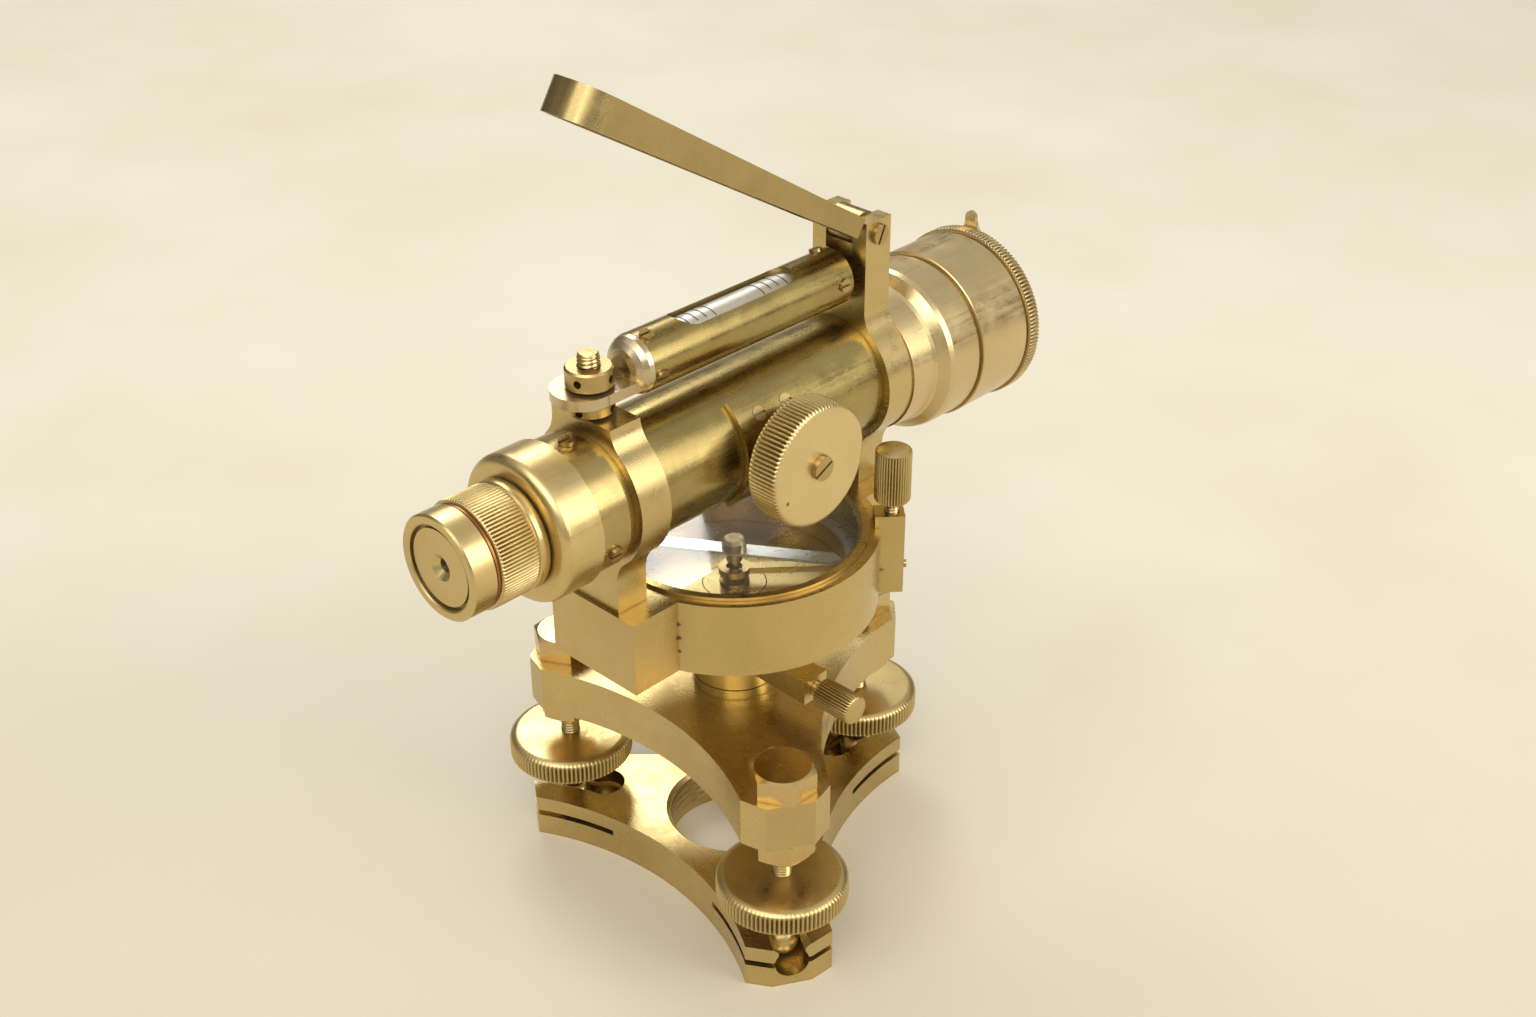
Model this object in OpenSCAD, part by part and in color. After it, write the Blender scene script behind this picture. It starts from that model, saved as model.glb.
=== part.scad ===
// Compact surveying level. A telescope with a tube level and a folding mirror stands
// on a compass box, and the box turns on a three-screw levelling head.
// Millimetres, +Z up. The origin is on the axis of the tripod thread, on the underside
// of the base plate. The telescope lies along X and its eyepiece faces -X.

/* [Plates] */
// Direction of the first arm about the vertical axis, degrees
arm_start = -121.5; // [-125:0.5:-118]
// Distance from the centre to each foot screw
screw_circle = 42.5; // [41.5:0.25:43.5]
// Waist of both plates between two arms, from the centre
plate_waist = 23; // [22:0.25:25]
// Thickness of the base plate
base_thick = 11; // [10.5:0.25:12]
// Distance from the centre to the end of a base arm
base_reach = 51.25; // [50.25:0.25:52.75]
// Half the width of a base arm at its end
base_half = 10.15; // [9.8:0.05:10.6]
// Chamfer on the corners of a base arm, across the arm
base_chamfer = 5.5; // [4.5:0.25:6]
// Chamfer on the corners of a base arm, along the arm
base_nose = 2.75; // [2:0.25:4]
// Height of the centres of the foot balls and of the clamping slits
ball_height = 6.4; // [6:0.1:6.6]
// Radius inside the tripod thread of the base plate
tripod_radius = 16.4; // [16:0.1:16.8]
// Radius of the chamfered mouth of the tripod thread
tripod_mouth = 17.3; // [17.1:0.1:17.8]
// Length of the clamping slit in a base arm
slit_length = 23.5; // [20:0.5:26]
// Height of the clamping slit
slit_gap = 1.5; // [0.8:0.1:1.8]
// Height of the underside of the upper plate
top_base = 38.2; // [38:0.1:39]
// Thickness of the upper plate
top_thick = 11.9; // [11:0.1:12.4]
// Distance from the centre to the end of an upper arm
top_reach = 49.5; // [49:0.25:51]
// Half the width of an upper arm at its end
top_half = 10.1; // [9.8:0.05:10.6]
// Chamfer on the corners of an upper arm
top_chamfer = 4.6; // [4:0.2:5]

/* [Foot screws] */
// Radius of the ball at the foot of each screw
ball_radius = 3.95; // [3.8:0.05:4.1]
// Radius of the hole that lets a ball into its arm
entry_radius = 4.9; // [4.8:0.05:5.1]
// Distance from the centre to that hole
entry_circle = 34.25; // [33.25:0.25:34.75]
// Radius of the neck above the ball
neck_radius = 2.6; // [2.4:0.05:2.7]
// Half the width of the slot that the neck stands in
slot_half = 3.1; // [3:0.05:3.3]
// Width of the flare along each edge of the slot
slot_flare = 1.2; // [0.9:0.1:1.4]
// Radius of the screwed part of the spindle
spindle_radius = 2.25; // [2.1:0.05:2.4]
// Height of the underside of the foot discs
disc_base = 20; // [19:0.25:21]
// Radius of the foot discs
disc_radius = 15; // [14.5:0.1:15.4]
// Thickness of the foot discs
disc_thick = 6; // [5.5:0.25:6.5]
// Bevel on the upper edge of the foot discs
disc_bevel = 1.1; // [0.8:0.1:1.4]
// Distance across the flats of the hexagon caps
cap_flats = 13.4; // [13:0.1:14]
// Height of the hexagon caps above the upper plate
cap_height = 5.7; // [5.4:0.1:5.9]
// Distance across the flats of the lock nuts under the upper plate
nut_flats = 13; // [12.6:0.1:13.6]
// Height of the lock nuts
nut_height = 5.4; // [5:0.1:5.8]
// Outer radius of the screwed sleeve of each bush
bush_radius = 4.6; // [4.3:0.1:4.8]
// Length of the spindle above the underside of its disc
spindle_rise = 30; // [29:0.5:30.5]

/* [Vertical axis and clamp] */
// Radius of the collar and of the boss under the compass box
post_radius = 10; // [9.6:0.1:10.6]
// Outer radius of the axis socket above the plate
socket_radius = 7; // [6.6:0.1:7.2]
// Radius of the turning spindle
axis_radius = 5; // [4.6:0.1:5.2]
// Height of the flange of the axis socket above the upper plate
socket_flange = 2.5; // [2:0.1:3]
// Height above the upper plate of the bearing face that carries the compass box
bearing_height = 15.9; // [15.5:0.1:17]
// Distance across the flats of the nut on the turning spindle
axis_nut_flats = 11; // [10:0.25:12]
// Direction of the clamp block about the vertical axis, degrees
clamp_angle = -91.5; // [-94.5:0.5:-88.5]
// Width of the clamp block
clamp_width = 7; // [6.6:0.1:7.4]
// Depth of the clamp block
clamp_depth = 6; // [5.6:0.1:6.4]
// Height of the axis of the clamp screw above the upper plate
clamp_height = 9.8; // [9.5:0.1:10.1]
// Distance from the centre to the end of the clamp block
clamp_reach = 26; // [25:0.25:27]
// Radius of the knurled head of the clamp screw
clamp_head = 3.5; // [3.2:0.05:3.6]
// Length of the knurled head of the clamp screw
clamp_head_length = 10.3; // [9.6:0.1:11.1]
// Length of bare shank between the block and the head
clamp_shank = 2.1; // [1.4:0.1:2.9]
// Radius of the shank of the clamp screw
clamp_shank_radius = 1.75; // [1.6:0.05:1.9]

/* [Compass] */
// Outer radius of the compass box
box_radius = 32.8; // [32.4:0.1:33.2]
// Height of the underside of the compass box above the bearing face
box_rise = 7.4; // [7:0.1:8]
// Height of the compass box
box_height = 17.6; // [17:0.1:18]
// Thickness of the floor of the compass box
box_floor = 3; // [2.8:0.1:3.2]
// Inner radius of the compass box under the graduated ring
well_radius = 26.5; // [26:0.1:27]
// Outer radius of the graduated ring
dial_radius = 29.9; // [29.6:0.1:30]
// Inner radius of the graduated ring
dial_bore = 25.4; // [25:0.1:25.8]
// Radius of the compass glass
glass_radius = 30.5; // [30.3:0.1:30.7]
// Thickness of the compass glass
glass_thick = 1.6; // [1.4:0.1:1.8]
// Radius of the opening of the bezel
bezel_bore = 28; // [27.5:0.1:28.5]
// Height of the bezel above the rim of the box
bezel_rise = 0.8; // [0.5:0.1:1.2]
// Distance from the centre to the end face of each lug
lug_reach = 42.8; // [42.5:0.1:43.4]
// Half the width of each lug
lug_half = 13; // [12.5:0.1:13.5]
// Direction of the needle about the vertical axis, degrees
needle_angle = -57; // [-65:1:-50]
// Half the length of the needle
needle_half = 24.6; // [24:0.1:24.9]
// Half the width of the needle
needle_width = 2.1; // [1.6:0.1:2.6]
// Thickness of the needle
needle_thick = 0.7; // [0.5:0.1:0.9]
// Direction of the needle arrest about the vertical axis, degrees
arrest_angle = -43; // [-46:0.5:-40]
// Distance from the centre to the arrest screw
arrest_circle = 35.5; // [35.3:0.05:35.7]
// Distance from the centre to the outer face of the arrest rib
rib_reach = 38.3; // [38.2:0.1:38.8]
// Half the width of the arrest rib
rib_half = 2.7; // [2.6:0.05:2.9]
// Height of the arrest rib above the rim of the box
rib_rise = 2.9; // [2.4:0.1:3.4]
// Radius of the knurled head of the arrest screw
arrest_head = 4.15; // [3.9:0.05:4.3]
// Height of the underside of that head above the rim of the box
arrest_base = 6; // [5.5:0.25:7]
// Height of that head up to its domed top
arrest_length = 13.2; // [12.5:0.1:14]
// Radius of the screwed neck of the arrest screw
arrest_shank = 1.7; // [1.6:0.05:1.8]

/* [Uprights] */
// Distance from the centre to the inner face of each upright
upright_inner = 33.7; // [33.5:0.1:34]
// Thickness of each upright
upright_thick = 8.1; // [7.9:0.1:8.4]
// Radius of the ring of each upright
ring_radius = 16; // [15.6:0.1:16.4]
// Half the width of the foot and of the neck of each upright
foot_half = 7.45; // [7.2:0.05:7.7]
// Radius of the hollow fillets between ring and foot
fillet_radius = 7.5; // [7:0.1:8]
// Distance from the telescope axis to the far side of the neck of the near upright
neck_far = 10.2; // [9.4:0.1:10.4]
// Height of the flat top of the near upright above the telescope axis
near_top = 17.6; // [17.2:0.1:17.8]
// Half the distance across the two ears of the far upright
ear_outer = 7.85; // [7.6:0.05:8]
// Half the gap between the two ears
ear_inner = 3.9; // [3.8:0.05:4]
// Height of the bottom of the gap between the ears above the telescope axis
ear_gap_base = 30.2; // [29.6:0.1:30.6]
// Height of the top of the ears above the telescope axis
ear_top = 38.7; // [38.4:0.1:39.2]

/* [Telescope] */
// Height of the telescope axis above the rim of the compass box
axis_height = 26; // [25.8:0.1:26.4]
// Outer radius of the main tube
tube_radius = 14.2; // [14:0.1:14.4]
// Wall of the main tube
tube_wall = 2.7; // [2.6:0.1:2.9]
// Step in radius at each end of the tube, where it enters an upright
neck_step = 1.7; // [1.6:0.1:1.9]
// Length of each tube end beyond its upright
neck_length = 2.4; // [2:0.1:3]

/* [Focusing drive] */
// Position of the focusing shaft along the telescope
focus_x = -0.6; // [-1.5:0.1:0]
// Half the length of the saddle along the telescope
saddle_half = 10.2; // [9.8:0.1:10.6]
// Thickness of the saddle on the tube
saddle_thick = 1.3; // [1.1:0.1:1.5]
// Half the angle that the saddle spans round the tube, degrees
saddle_span = 55; // [52:1:58]
// Radius of the bearing boss on the saddle
saddle_boss = 5; // [4.6:0.1:5.4]
// Distance from the telescope axis to the end of the bearing boss
boss_reach = 18.2; // [17.9:0.1:18.3]
// Radius of the focusing knob
knob_radius = 13.9; // [13.5:0.1:14.2]
// Distance from the telescope axis to the back face of the knob
knob_back = 18.6; // [18.5:0.1:18.9]
// Thickness of the focusing knob
knob_thick = 7.9; // [7.4:0.1:8.4]
// Radius of the focusing shaft
shaft_radius = 1.5; // [1.4:0.05:1.6]
// Radius of the pinion
pinion_radius = 2.4; // [2.3:0.05:2.45]
// Radius of the head of the screw in the knob
knob_screw_radius = 2.75; // [2.5:0.05:3]

/* [Eyepiece] */
// Distance from the centre to the front of the reticle ring
diaphragm_front = 51.4; // [51:0.1:51.8]
// Distance from the centre to the step behind the reticle ring
diaphragm_back = 44; // [43.8:0.1:44.4]
// Step in radius from the main tube up to the reticle ring
ring_step = 0.8; // [0.6:0.1:1]
// Distance from the centre to the front of the large barrel
barrel_front = 61.7; // [61.3:0.1:62]
// Outer radius of the large barrel
barrel_radius = 16; // [15.7:0.1:16.4]
// Radius of the rounded front edge of the large barrel
barrel_round = 2.2; // [1.8:0.1:2.6]
// Outer radius of the sliding eyepiece tube
eye_tube_radius = 9; // [8.8:0.1:9.2]
// Outer radius of the knurled eyepiece ring
eye_ring_radius = 11.8; // [11.6:0.1:12]
// Length of the knurled eyepiece ring
eye_ring_length = 12; // [11.4:0.1:12.2]
// Outer radius of the eyepiece cap
eye_cap_radius = 11.3; // [11:0.1:11.6]
// Distance from the centre to the front of the eyepiece
eye_front = 80.6; // [80:0.1:81]
// Radius of the sight hole
sight_radius = 1.5; // [1.2:0.1:2]

/* [Objective] */
// Radius of the objective barrel beside the upright
taper_radius = 16.4; // [16.2:0.1:16.6]
// Radius of the wide part of the objective barrel
shoulder_radius = 19.65; // [19.4:0.05:19.9]
// Distance from the centre to the end of the objective barrel
shoulder_end = 61.5; // [61:0.1:62]
// Radius of the objective cell
cell_radius = 20.3; // [20:0.1:20.6]
// Distance from the centre to the end of the objective cell
cell_end = 78.3; // [78:0.1:78.6]
// Radius of the knurled front rim
rim_radius = 21; // [20.8:0.1:21.4]
// Distance from the centre to the front of the rim
rim_end = 82.3; // [82:0.1:82.8]
// Clear radius of the rim
rim_bore = 15.6; // [15:0.1:16]
// Radius of the shutter disc
shutter_radius = 19.5; // [19.2:0.1:19.8]
// Thickness of the shutter disc
shutter_thick = 1; // [0.8:0.1:1.2]
// Distance from the telescope axis to the tip of the finger tab
tab_reach = 24.7; // [24.2:0.1:25.2]
// Direction of the shutter pivot, degrees from the side towards the top
pivot_angle = 61.5; // [58:0.5:65]
// Distance from the telescope axis to the shutter pivot
pivot_circle = 18; // [17.6:0.1:18.2]

/* [Tube level] */
// Height of the axis of the tube level above the telescope axis
level_height = 25; // [24.8:0.1:25.2]
// Outer radius of the tube level
level_radius = 6.5; // [6.3:0.05:6.6]
// Bore of the tube level
level_bore = 5.4; // [5.2:0.05:5.5]
// Distance from the centre to the front end of the tube level
level_front = 28; // [27.6:0.1:28.4]
// Distance from the centre to the rear end of the tube level
level_rear = 31.5; // [31:0.1:31.8]
// Half the length of the window over the vial
window_half = 17; // [16:0.1:18]
// Half the width of the window over the vial
window_width = 4; // [3.7:0.1:4.2]
// Height of the adjusting stud above the near upright
stud_rise = 13.4; // [12.9:0.1:13.8]
// Distance from the centre to the adjusting stud along the telescope
stud_place = 38.8; // [38.4:0.1:39]
// Distance from the telescope axis to the adjusting stud, towards the far side
stud_aside = 1.5; // [1:0.1:1.8]
// Radius of the adjusting stud
stud_radius = 2.4; // [2.2:0.05:2.5]
// Radius of the capstan nuts
capstan_radius = 5; // [4.75:0.05:5.2]
// Height of the lower capstan nut
lower_nut_height = 2.7; // [2.5:0.1:2.9]
// Height of the upper capstan nut
upper_nut_height = 4.4; // [4:0.1:4.8]
// Thickness of the tongue between the nuts
tongue_thick = 2.3; // [2.1:0.1:2.4]

/* [Mirror] */
// Height of the mirror hinge above the telescope axis
hinge_height = 35.4; // [35.2:0.1:35.6]
// Angle of the raised mirror above the horizontal, degrees
mirror_rise = 32.5; // [29:0.1:37]
// Half the width of the mirror frame
mirror_half = 7.5; // [7.3:0.05:7.7]
// Distance from the hinge to the far end of the mirror
mirror_reach = 95; // [93:0.5:97]
// Distance from the hinge to the full-width part of the mirror
mirror_start = 5.8; // [5.7:0.1:6.2]
// Height of the top of the mirror frame above the hinge line
mirror_top = 1.6; // [1.4:0.1:1.8]
// Depth of the mirror frame at its far end
mirror_depth = 7.2; // [6.9:0.1:7.5]
// Depth of the mirror frame beside the hinge
hinge_depth = 4.5; // [4.3:0.1:4.6]
// Radius of the corners at the far end of the mirror
mirror_corner = 6.4; // [6:0.1:7]
// Radius of the round end of the mirror tongue
tongue_radius = 4; // [3.8:0.1:4.2]
// Radius of the hinge screw
hinge_radius = 1.5; // [1.4:0.05:1.6]
// Radius of the head of the hinge screw
hinge_head = 2.3; // [2.1:0.05:2.5]

/* [Fits] */
// Radial clearance of a turning or sliding fit
run = 0.05; // [0.03:0.01:0.08]
// Clearance between pieces that pass close to each other
air = 0.3; // [0.3:0.05:0.35]
// Width of screwdriver slots
slot_width = 0.6; // [0.5:0.05:0.7]
// Depth of screwdriver slots
slot_depth = 0.5; // [0.4:0.05:0.6]

/* [Node] */
// Sub-part to build, or all of them

/* [Hidden] */
$fn = 96;
brass = [0.78, 0.65, 0.36];
dark = [0.45, 0.38, 0.25];
silver = [0.8, 0.8, 0.78];
clear = [0.8, 0.88, 0.9, 0.4];
arm_step = 120;
over = 1;
ball_seat = ball_radius + run;
disc_top = disc_base + disc_thick;
top_face = top_base + top_thick;
cap_top = top_face + cap_height;
spindle_top = disc_base + spindle_rise;
bush_bore = spindle_radius + run;
bush_roof = 1;
bearing_face = top_face + bearing_height;
clamp_z = top_face + clamp_height;
box_base = bearing_face + box_rise;
socket_root = socket_radius + 0.5;
axis_thread = 3;
axis_seat = 6;
axis_nut_height = 3;
box_top = box_base + box_height;
axis_z = box_top + axis_height;
level_z = axis_z + level_height;
hinge_z = axis_z + hinge_height;
floor_face = box_base + box_floor;
dial_thick = 1;
glass_base = box_top - glass_thick - 1;
dial_base = floor_face + 6;
rib_top = box_top + rib_rise;
rib_lift = 0.4;
lever_base = floor_face + 2.6;
lever_thick = 1.6;
lever_half = 1.2;
lever_pivot = 33.4;
arrest_tip = 1;
tip_top_height = lever_base + lever_thick + 3.4;
rib_screw_head = 0.9;
arc_steps = 24;
lever_eye = 1.9;
lever_ring = 3.6;
pin_radius = 0.4;
pin_base = lever_base + lever_thick / 2;
needle_base = dial_base + dial_thick + 1.2;
hub_base = lever_base + lever_thick + 1.7;
cap_radius = 2.8;
post_stem = 1.1;
post_tip = 0.5;
needle_roof = glass_base - 0.4;
tip_top = needle_roof - 1;
upright_outer = upright_inner + upright_thick;
upright_mid = upright_inner + upright_thick / 2;
near_face = axis_z + near_top;
tube_bore = tube_radius - tube_wall;
tube_neck = tube_radius - neck_step;
bore_radius = tube_neck + run;
saddle_radius = tube_radius + saddle_thick;
diaphragm_radius = tube_radius + ring_step;
level_seat_radius = 2.5;
level_seat_half = 2.5;
level_pivot = upright_inner + 3;
stud_root = axis_z + bore_radius + 1.6;
lower_nut_base = near_face + 0.4;
tongue_base = lower_nut_base + lower_nut_height + air + run;
tongue_top = tongue_base + tongue_thick;
upper_nut_base = tongue_top + air + run;
mirror_wall = 1.3;
mirror_plate = 1.6;
mirror_glass_thick = 1.5;
mirror_window_start = 11;
rack_y = tube_bore - 1.1;
rack_depth = 2.9;
rack_height = 1.6;
cell_length = 7;
cell_start = 14;
saddle_screw_angle = 36;
saddle_screw_x = 4.05;
screw_head = 1.7;
screw_rise = 0.9;
screw_shank = 0.8;
knob_thread = 0.9;
level_shank = 0.6;
level_head = 1.5;
level_head_rise = 0.8;
level_seat_depth = 0.1;
level_screw_depth = 1.8;
level_floor = 3.6;
pivot_shank = 0.9;
plug_depth = 4;
tongue_half = 4.4;
tongue_end = 6.8;
tab_lean = -4;
lens_bore = tube_bore - 2.9;
lens_rim = 2.8;
lens_bulge = 1.4;
focus_rim = 3.2;
focus_hollow = 1.2;
reticle_x = 47.8;
reticle_radius = tube_bore - 0.6;
reticle_bore = 7.6;
reticle_turns = [94, 200, 274, 20];
spigot_radius = 17.5;
lens_edge = 17;
lens_seat = cell_end - 5;
level_screw_places = [[-26.2, 107], [-26.2, 191], [28.4, 71], [28.4, 173]];

// A point on a circle about the origin
function polar(radius, angle) = [radius * cos(angle), radius * sin(angle)];

// Places its children on each of the three arms
module on_arms() {
    for (i = [0:2])
        rotate([0, 0, arm_start + arm_step * i])
            children();
}

// A three-armed plate with hollow sides, standing on z = 0
module arm_plate(reach, half, chamfer, nose, thick) {
    corner = reach - nose;
    far = norm([corner, half]);
    lean = arm_step / 2 - atan2(half, corner);
    along = far * cos(lean) - plate_waist;
    across = far * sin(lean);
    hollow = (across * across + along * along) / (2 * along);
    spare = 3;
    back = corner - spare * nose / chamfer;
    end = [[back, -half - spare], [reach, chamfer - half], [reach, half - chamfer], [back, half + spare]];
    outline = [for (i = [0:2]) for (p = end)
        polar(norm(p), atan2(p[1], p[0]) + arm_start + arm_step * i)];
    difference() {
        linear_extrude(thick)
            polygon(outline);
        for (i = [0:2])
            rotate([0, 0, arm_start + arm_step * (i + 0.5)])
                translate([plate_waist + hollow, 0, -over])
                    cylinder(r = hollow, h = thick + 2 * over, $fn = 180);
    }
}

// A hexagon bar whose flats lie flats apart, with its upper corners turned off
module hexagon(flats, height, turned) {
    wide = flats * 0.6;
    intersection() {
        cylinder(d = flats / cos(30), h = height, $fn = 6);
        rotate_extrude()
            polygon([[0, 0], [wide, 0], [wide, height - (wide - flats / 2 + turned) / 2],
                [flats / 2 - turned, height], [0, height]]);
    }
}

// A slotted screw head on its shank, with the seat at z = 0 and the shank below it
module slotted_screw(head, rise, shank, depth) {
    difference() {
        union() {
            cylinder(r = head, h = rise);
            translate([0, 0, -depth])
                cylinder(r = shank, h = depth + rise / 2);
        }
        translate([-head - over, -slot_width / 2, rise - slot_depth])
            cube([2 * (head + over), slot_width, slot_depth + over]);
    }
}

// Places children, drawn along +Z, along the telescope axis with +Z turned to +X
module on_telescope(x) {
    translate([x, 0, axis_z])
        rotate([0, 90, 0])
            children();
}

// Turns children, drawn along +Z, to point outwards from the telescope-direction axis
// at the given height; the angle runs from +Y towards +Z
module outward(x, height, angle, radius) {
    translate([x, 0, height])
        rotate([angle - 90, 0, 0])
            translate([0, 0, radius])
                children();
}

// A turned shape about the telescope axis from points of position along X and radius
module turned(points) {
    on_telescope(0)
        rotate_extrude()
            polygon([for (p = points) [p[1], p[0]]]);
}

module base_plate() {
    color(brass)
        difference() {
            arm_plate(base_reach, base_half, base_chamfer, base_nose, base_thick);
            translate([0, 0, -over])
                cylinder(r = tripod_radius, h = base_thick + 2 * over);
            translate([0, 0, base_thick])
                mirror([0, 0, 1])
                    rotate_extrude()
                        polygon([[0, -over], [tripod_mouth + over, -over],
                            [tripod_radius, tripod_mouth - tripod_radius],
                            [0, tripod_mouth - tripod_radius]]);
            on_arms()
                ball_seat_cut();
        }
}

// Slit, entry hole, flared slot and round seat in one arm along +X
module ball_seat_cut() {
    length = base_reach - entry_circle + over;
    side = base_half * 2;
    flare = slot_half + slot_flare + over;
    translate([base_reach - slit_length, -side, ball_height - slit_gap / 2])
        cube([slit_length + over, 2 * side, slit_gap]);
    translate([entry_circle, 0, ball_height - ball_seat])
        cylinder(r = entry_radius, h = base_thick);
    translate([entry_circle, 0, ball_height])
        rotate([0, 90, 0])
            cylinder(r = ball_seat, h = length);
    translate([entry_circle, 0, 0])
        rotate([90, 0, 90])
            linear_extrude(length)
                polygon([[-slot_half, ball_height], [slot_half, ball_height],
                    [slot_half, base_thick - slot_flare], [flare, base_thick + over],
                    [-flare, base_thick + over], [-slot_half, base_thick - slot_flare]]);
}

module foot_place(i) {
    rotate([0, 0, arm_start + arm_step * i])
        translate([screw_circle, 0, 0])
            children();
}

module foot_ball(i) {
    color(brass)
        foot_place(i)
            translate([0, 0, ball_height])
                sphere(r = ball_radius);
}

module foot_spindle(i) {
    color(brass)
        foot_place(i)
            difference() {
                union() {
                    translate([0, 0, ball_height])
                        cylinder(r = neck_radius, h = disc_base - ball_height);
                    translate([0, 0, disc_base - over])
                        cylinder(r = spindle_radius, h = spindle_top - disc_base + over);
                }
                translate([0, 0, ball_height])
                    sphere(r = ball_radius + air);
            }
}

module foot_disc(i) {
    color(brass)
        foot_place(i)
            translate([0, 0, disc_base])
                rotate_extrude()
                    polygon([[spindle_radius + run, 0], [disc_radius - 0.4, 0], [disc_radius, 0.4],
                        [disc_radius, disc_thick - disc_bevel], [disc_radius - disc_bevel, disc_thick],
                        [spindle_radius + run, disc_thick]]);
}

module upper_plate() {
    color(brass)
        translate([0, 0, top_base])
            difference() {
                arm_plate(top_reach, top_half, top_chamfer, top_chamfer, top_thick);
                translate([0, 0, -over])
                    cylinder(r = socket_root + run, h = top_thick + 2 * over);
                on_arms()
                    translate([screw_circle, 0, -over])
                        cylinder(r = bush_radius + run, h = top_thick + 2 * over);
            }
}

module foot_bushes() {
    color(brass)
        on_arms()
            translate([screw_circle, 0, 0])
                difference() {
                    union() {
                        translate([0, 0, top_face])
                            hexagon(cap_flats, cap_height, 0.4);
                        translate([0, 0, top_base - nut_height - air])
                            cylinder(r = bush_radius, h = top_thick + nut_height + 2 * air);
                    }
                    translate([0, 0, top_base - nut_height - over])
                        cylinder(r = bush_bore, h = cap_top - bush_roof - top_base + nut_height + over);
                }
}

module bush_nuts() {
    color(brass)
        on_arms()
            translate([screw_circle, 0, top_base])
                mirror([0, 0, 1])
                    difference() {
                        hexagon(nut_flats, nut_height, 0.3);
                        translate([0, 0, -over])
                            cylinder(r = bush_radius + run, h = nut_height + 2 * over);
                    }
}

module axis_socket() {
    color(brass)
        difference() {
            union() {
                translate([0, 0, top_base])
                    cylinder(r = socket_root, h = top_thick + over);
                translate([0, 0, top_face])
                    cylinder(r = post_radius, h = socket_flange);
                translate([0, 0, top_face])
                    cylinder(r = socket_radius, h = bearing_height);
            }
            translate([0, 0, top_base - over])
                cylinder(r = axis_radius + run, h = bearing_face - top_base + 2 * over);
        }
}

module axis_spindle() {
    color(brass) {
        translate([0, 0, top_base])
            cylinder(r = axis_radius, h = bearing_face - top_base + axis_seat);
        translate([0, 0, top_base - axis_nut_height - 0.8])
            cylinder(r = axis_thread, h = axis_nut_height + 0.8 + over);
    }
}

module axis_nut() {
    color(brass)
        translate([0, 0, top_base])
            mirror([0, 0, 1])
                difference() {
                    hexagon(axis_nut_flats, axis_nut_height, 0.3);
                    translate([0, 0, -over])
                        cylinder(r = axis_thread + run, h = axis_nut_height + 2 * over);
                }
}

module clamp_collar() {
    base = top_face + socket_flange + air;
    color(brass)
        difference() {
            union() {
                translate([0, 0, base])
                    cylinder(r = post_radius, h = bearing_face - base);
                rotate([0, 0, clamp_angle])
                    translate([0, -clamp_width / 2, clamp_z - clamp_depth / 2])
                        cube([clamp_reach, clamp_width, clamp_depth]);
            }
            translate([0, 0, base - over])
                cylinder(r = socket_radius + run, h = bearing_face - base + 2 * over);
            rotate([0, 0, clamp_angle])
                translate([0, 0, clamp_z])
                    rotate([0, 90, 0])
                        cylinder(r = clamp_shank_radius + run, h = clamp_reach + over);
        }
}

module clamp_screw() {
    start = socket_radius + air;
    head_start = clamp_reach + clamp_shank;
    color(brass)
        rotate([0, 0, clamp_angle])
            translate([0, 0, clamp_z])
                rotate([0, 90, 0])
                    rotate_extrude()
                        polygon([[0, start], [clamp_shank_radius, start], [clamp_shank_radius, head_start],
                            [clamp_head - 0.5, head_start], [clamp_head, head_start + 0.5],
                            [clamp_head, head_start + clamp_head_length - 0.5],
                            [clamp_head - 0.5, head_start + clamp_head_length],
                            [0, head_start + clamp_head_length]]);
}

module compass_box() {
    color(brass)
        difference() {
            union() {
                translate([0, 0, box_base])
                    cylinder(r = box_radius, h = box_height, $fn = 180);
                translate([0, 0, bearing_face])
                    cylinder(r = post_radius, h = box_base - bearing_face + over);
                translate([-lug_reach, -lug_half, box_base])
                    cube([2 * lug_reach, 2 * lug_half, box_height]);
                rotate([0, 0, arrest_angle])
                    translate([glass_radius + over, -rib_half, box_base + rib_lift])
                        cube([rib_reach - glass_radius - over, 2 * rib_half, rib_top - box_base - rib_lift]);
            }
            translate([0, 0, floor_face])
                cylinder(r = well_radius, h = box_height, $fn = 180);
            translate([0, 0, dial_base])
                cylinder(r = dial_radius + run, h = box_height, $fn = 180);
            translate([0, 0, glass_base])
                cylinder(r = glass_radius + run, h = box_height, $fn = 180);
            translate([0, 0, bearing_face - over])
                cylinder(r = axis_radius + run, h = axis_seat + over);
            rotate([0, 0, arrest_angle])
                arrest_cut();
        }
}

// Screw bore and lever slot of the needle arrest, along +X
module arrest_cut() {
    translate([arrest_circle, 0, tip_top_height])
        cylinder(r = arrest_shank + run, h = rib_top - tip_top_height + over);
    translate([arrest_circle, 0, lever_base])
        cylinder(r = arrest_tip + run, h = rib_top - lever_base);
    translate([well_radius - over, -lever_half - air, lever_base - 1.2])
        cube([arrest_circle + arrest_tip + air - well_radius + over, 2 * (lever_half + air),
            lever_thick + 2.4]);
    translate([lever_pivot, 0, pin_base])
        rotate([90, 0, 0])
            cylinder(r = pin_radius + run, h = 4 * rib_half, center = true);
    translate([rib_reach - 1.2, 0, pin_base])
        rotate([0, 90, 0])
            cylinder(r = pin_radius + run, h = 1.2 + over);
}

module dial_ring() {
    color(silver)
        translate([0, 0, dial_base])
            difference() {
                cylinder(r = dial_radius, h = dial_thick, $fn = 180);
                translate([0, 0, -over])
                    cylinder(r = dial_bore, h = dial_thick + 2 * over, $fn = 180);
            }
}

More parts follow.
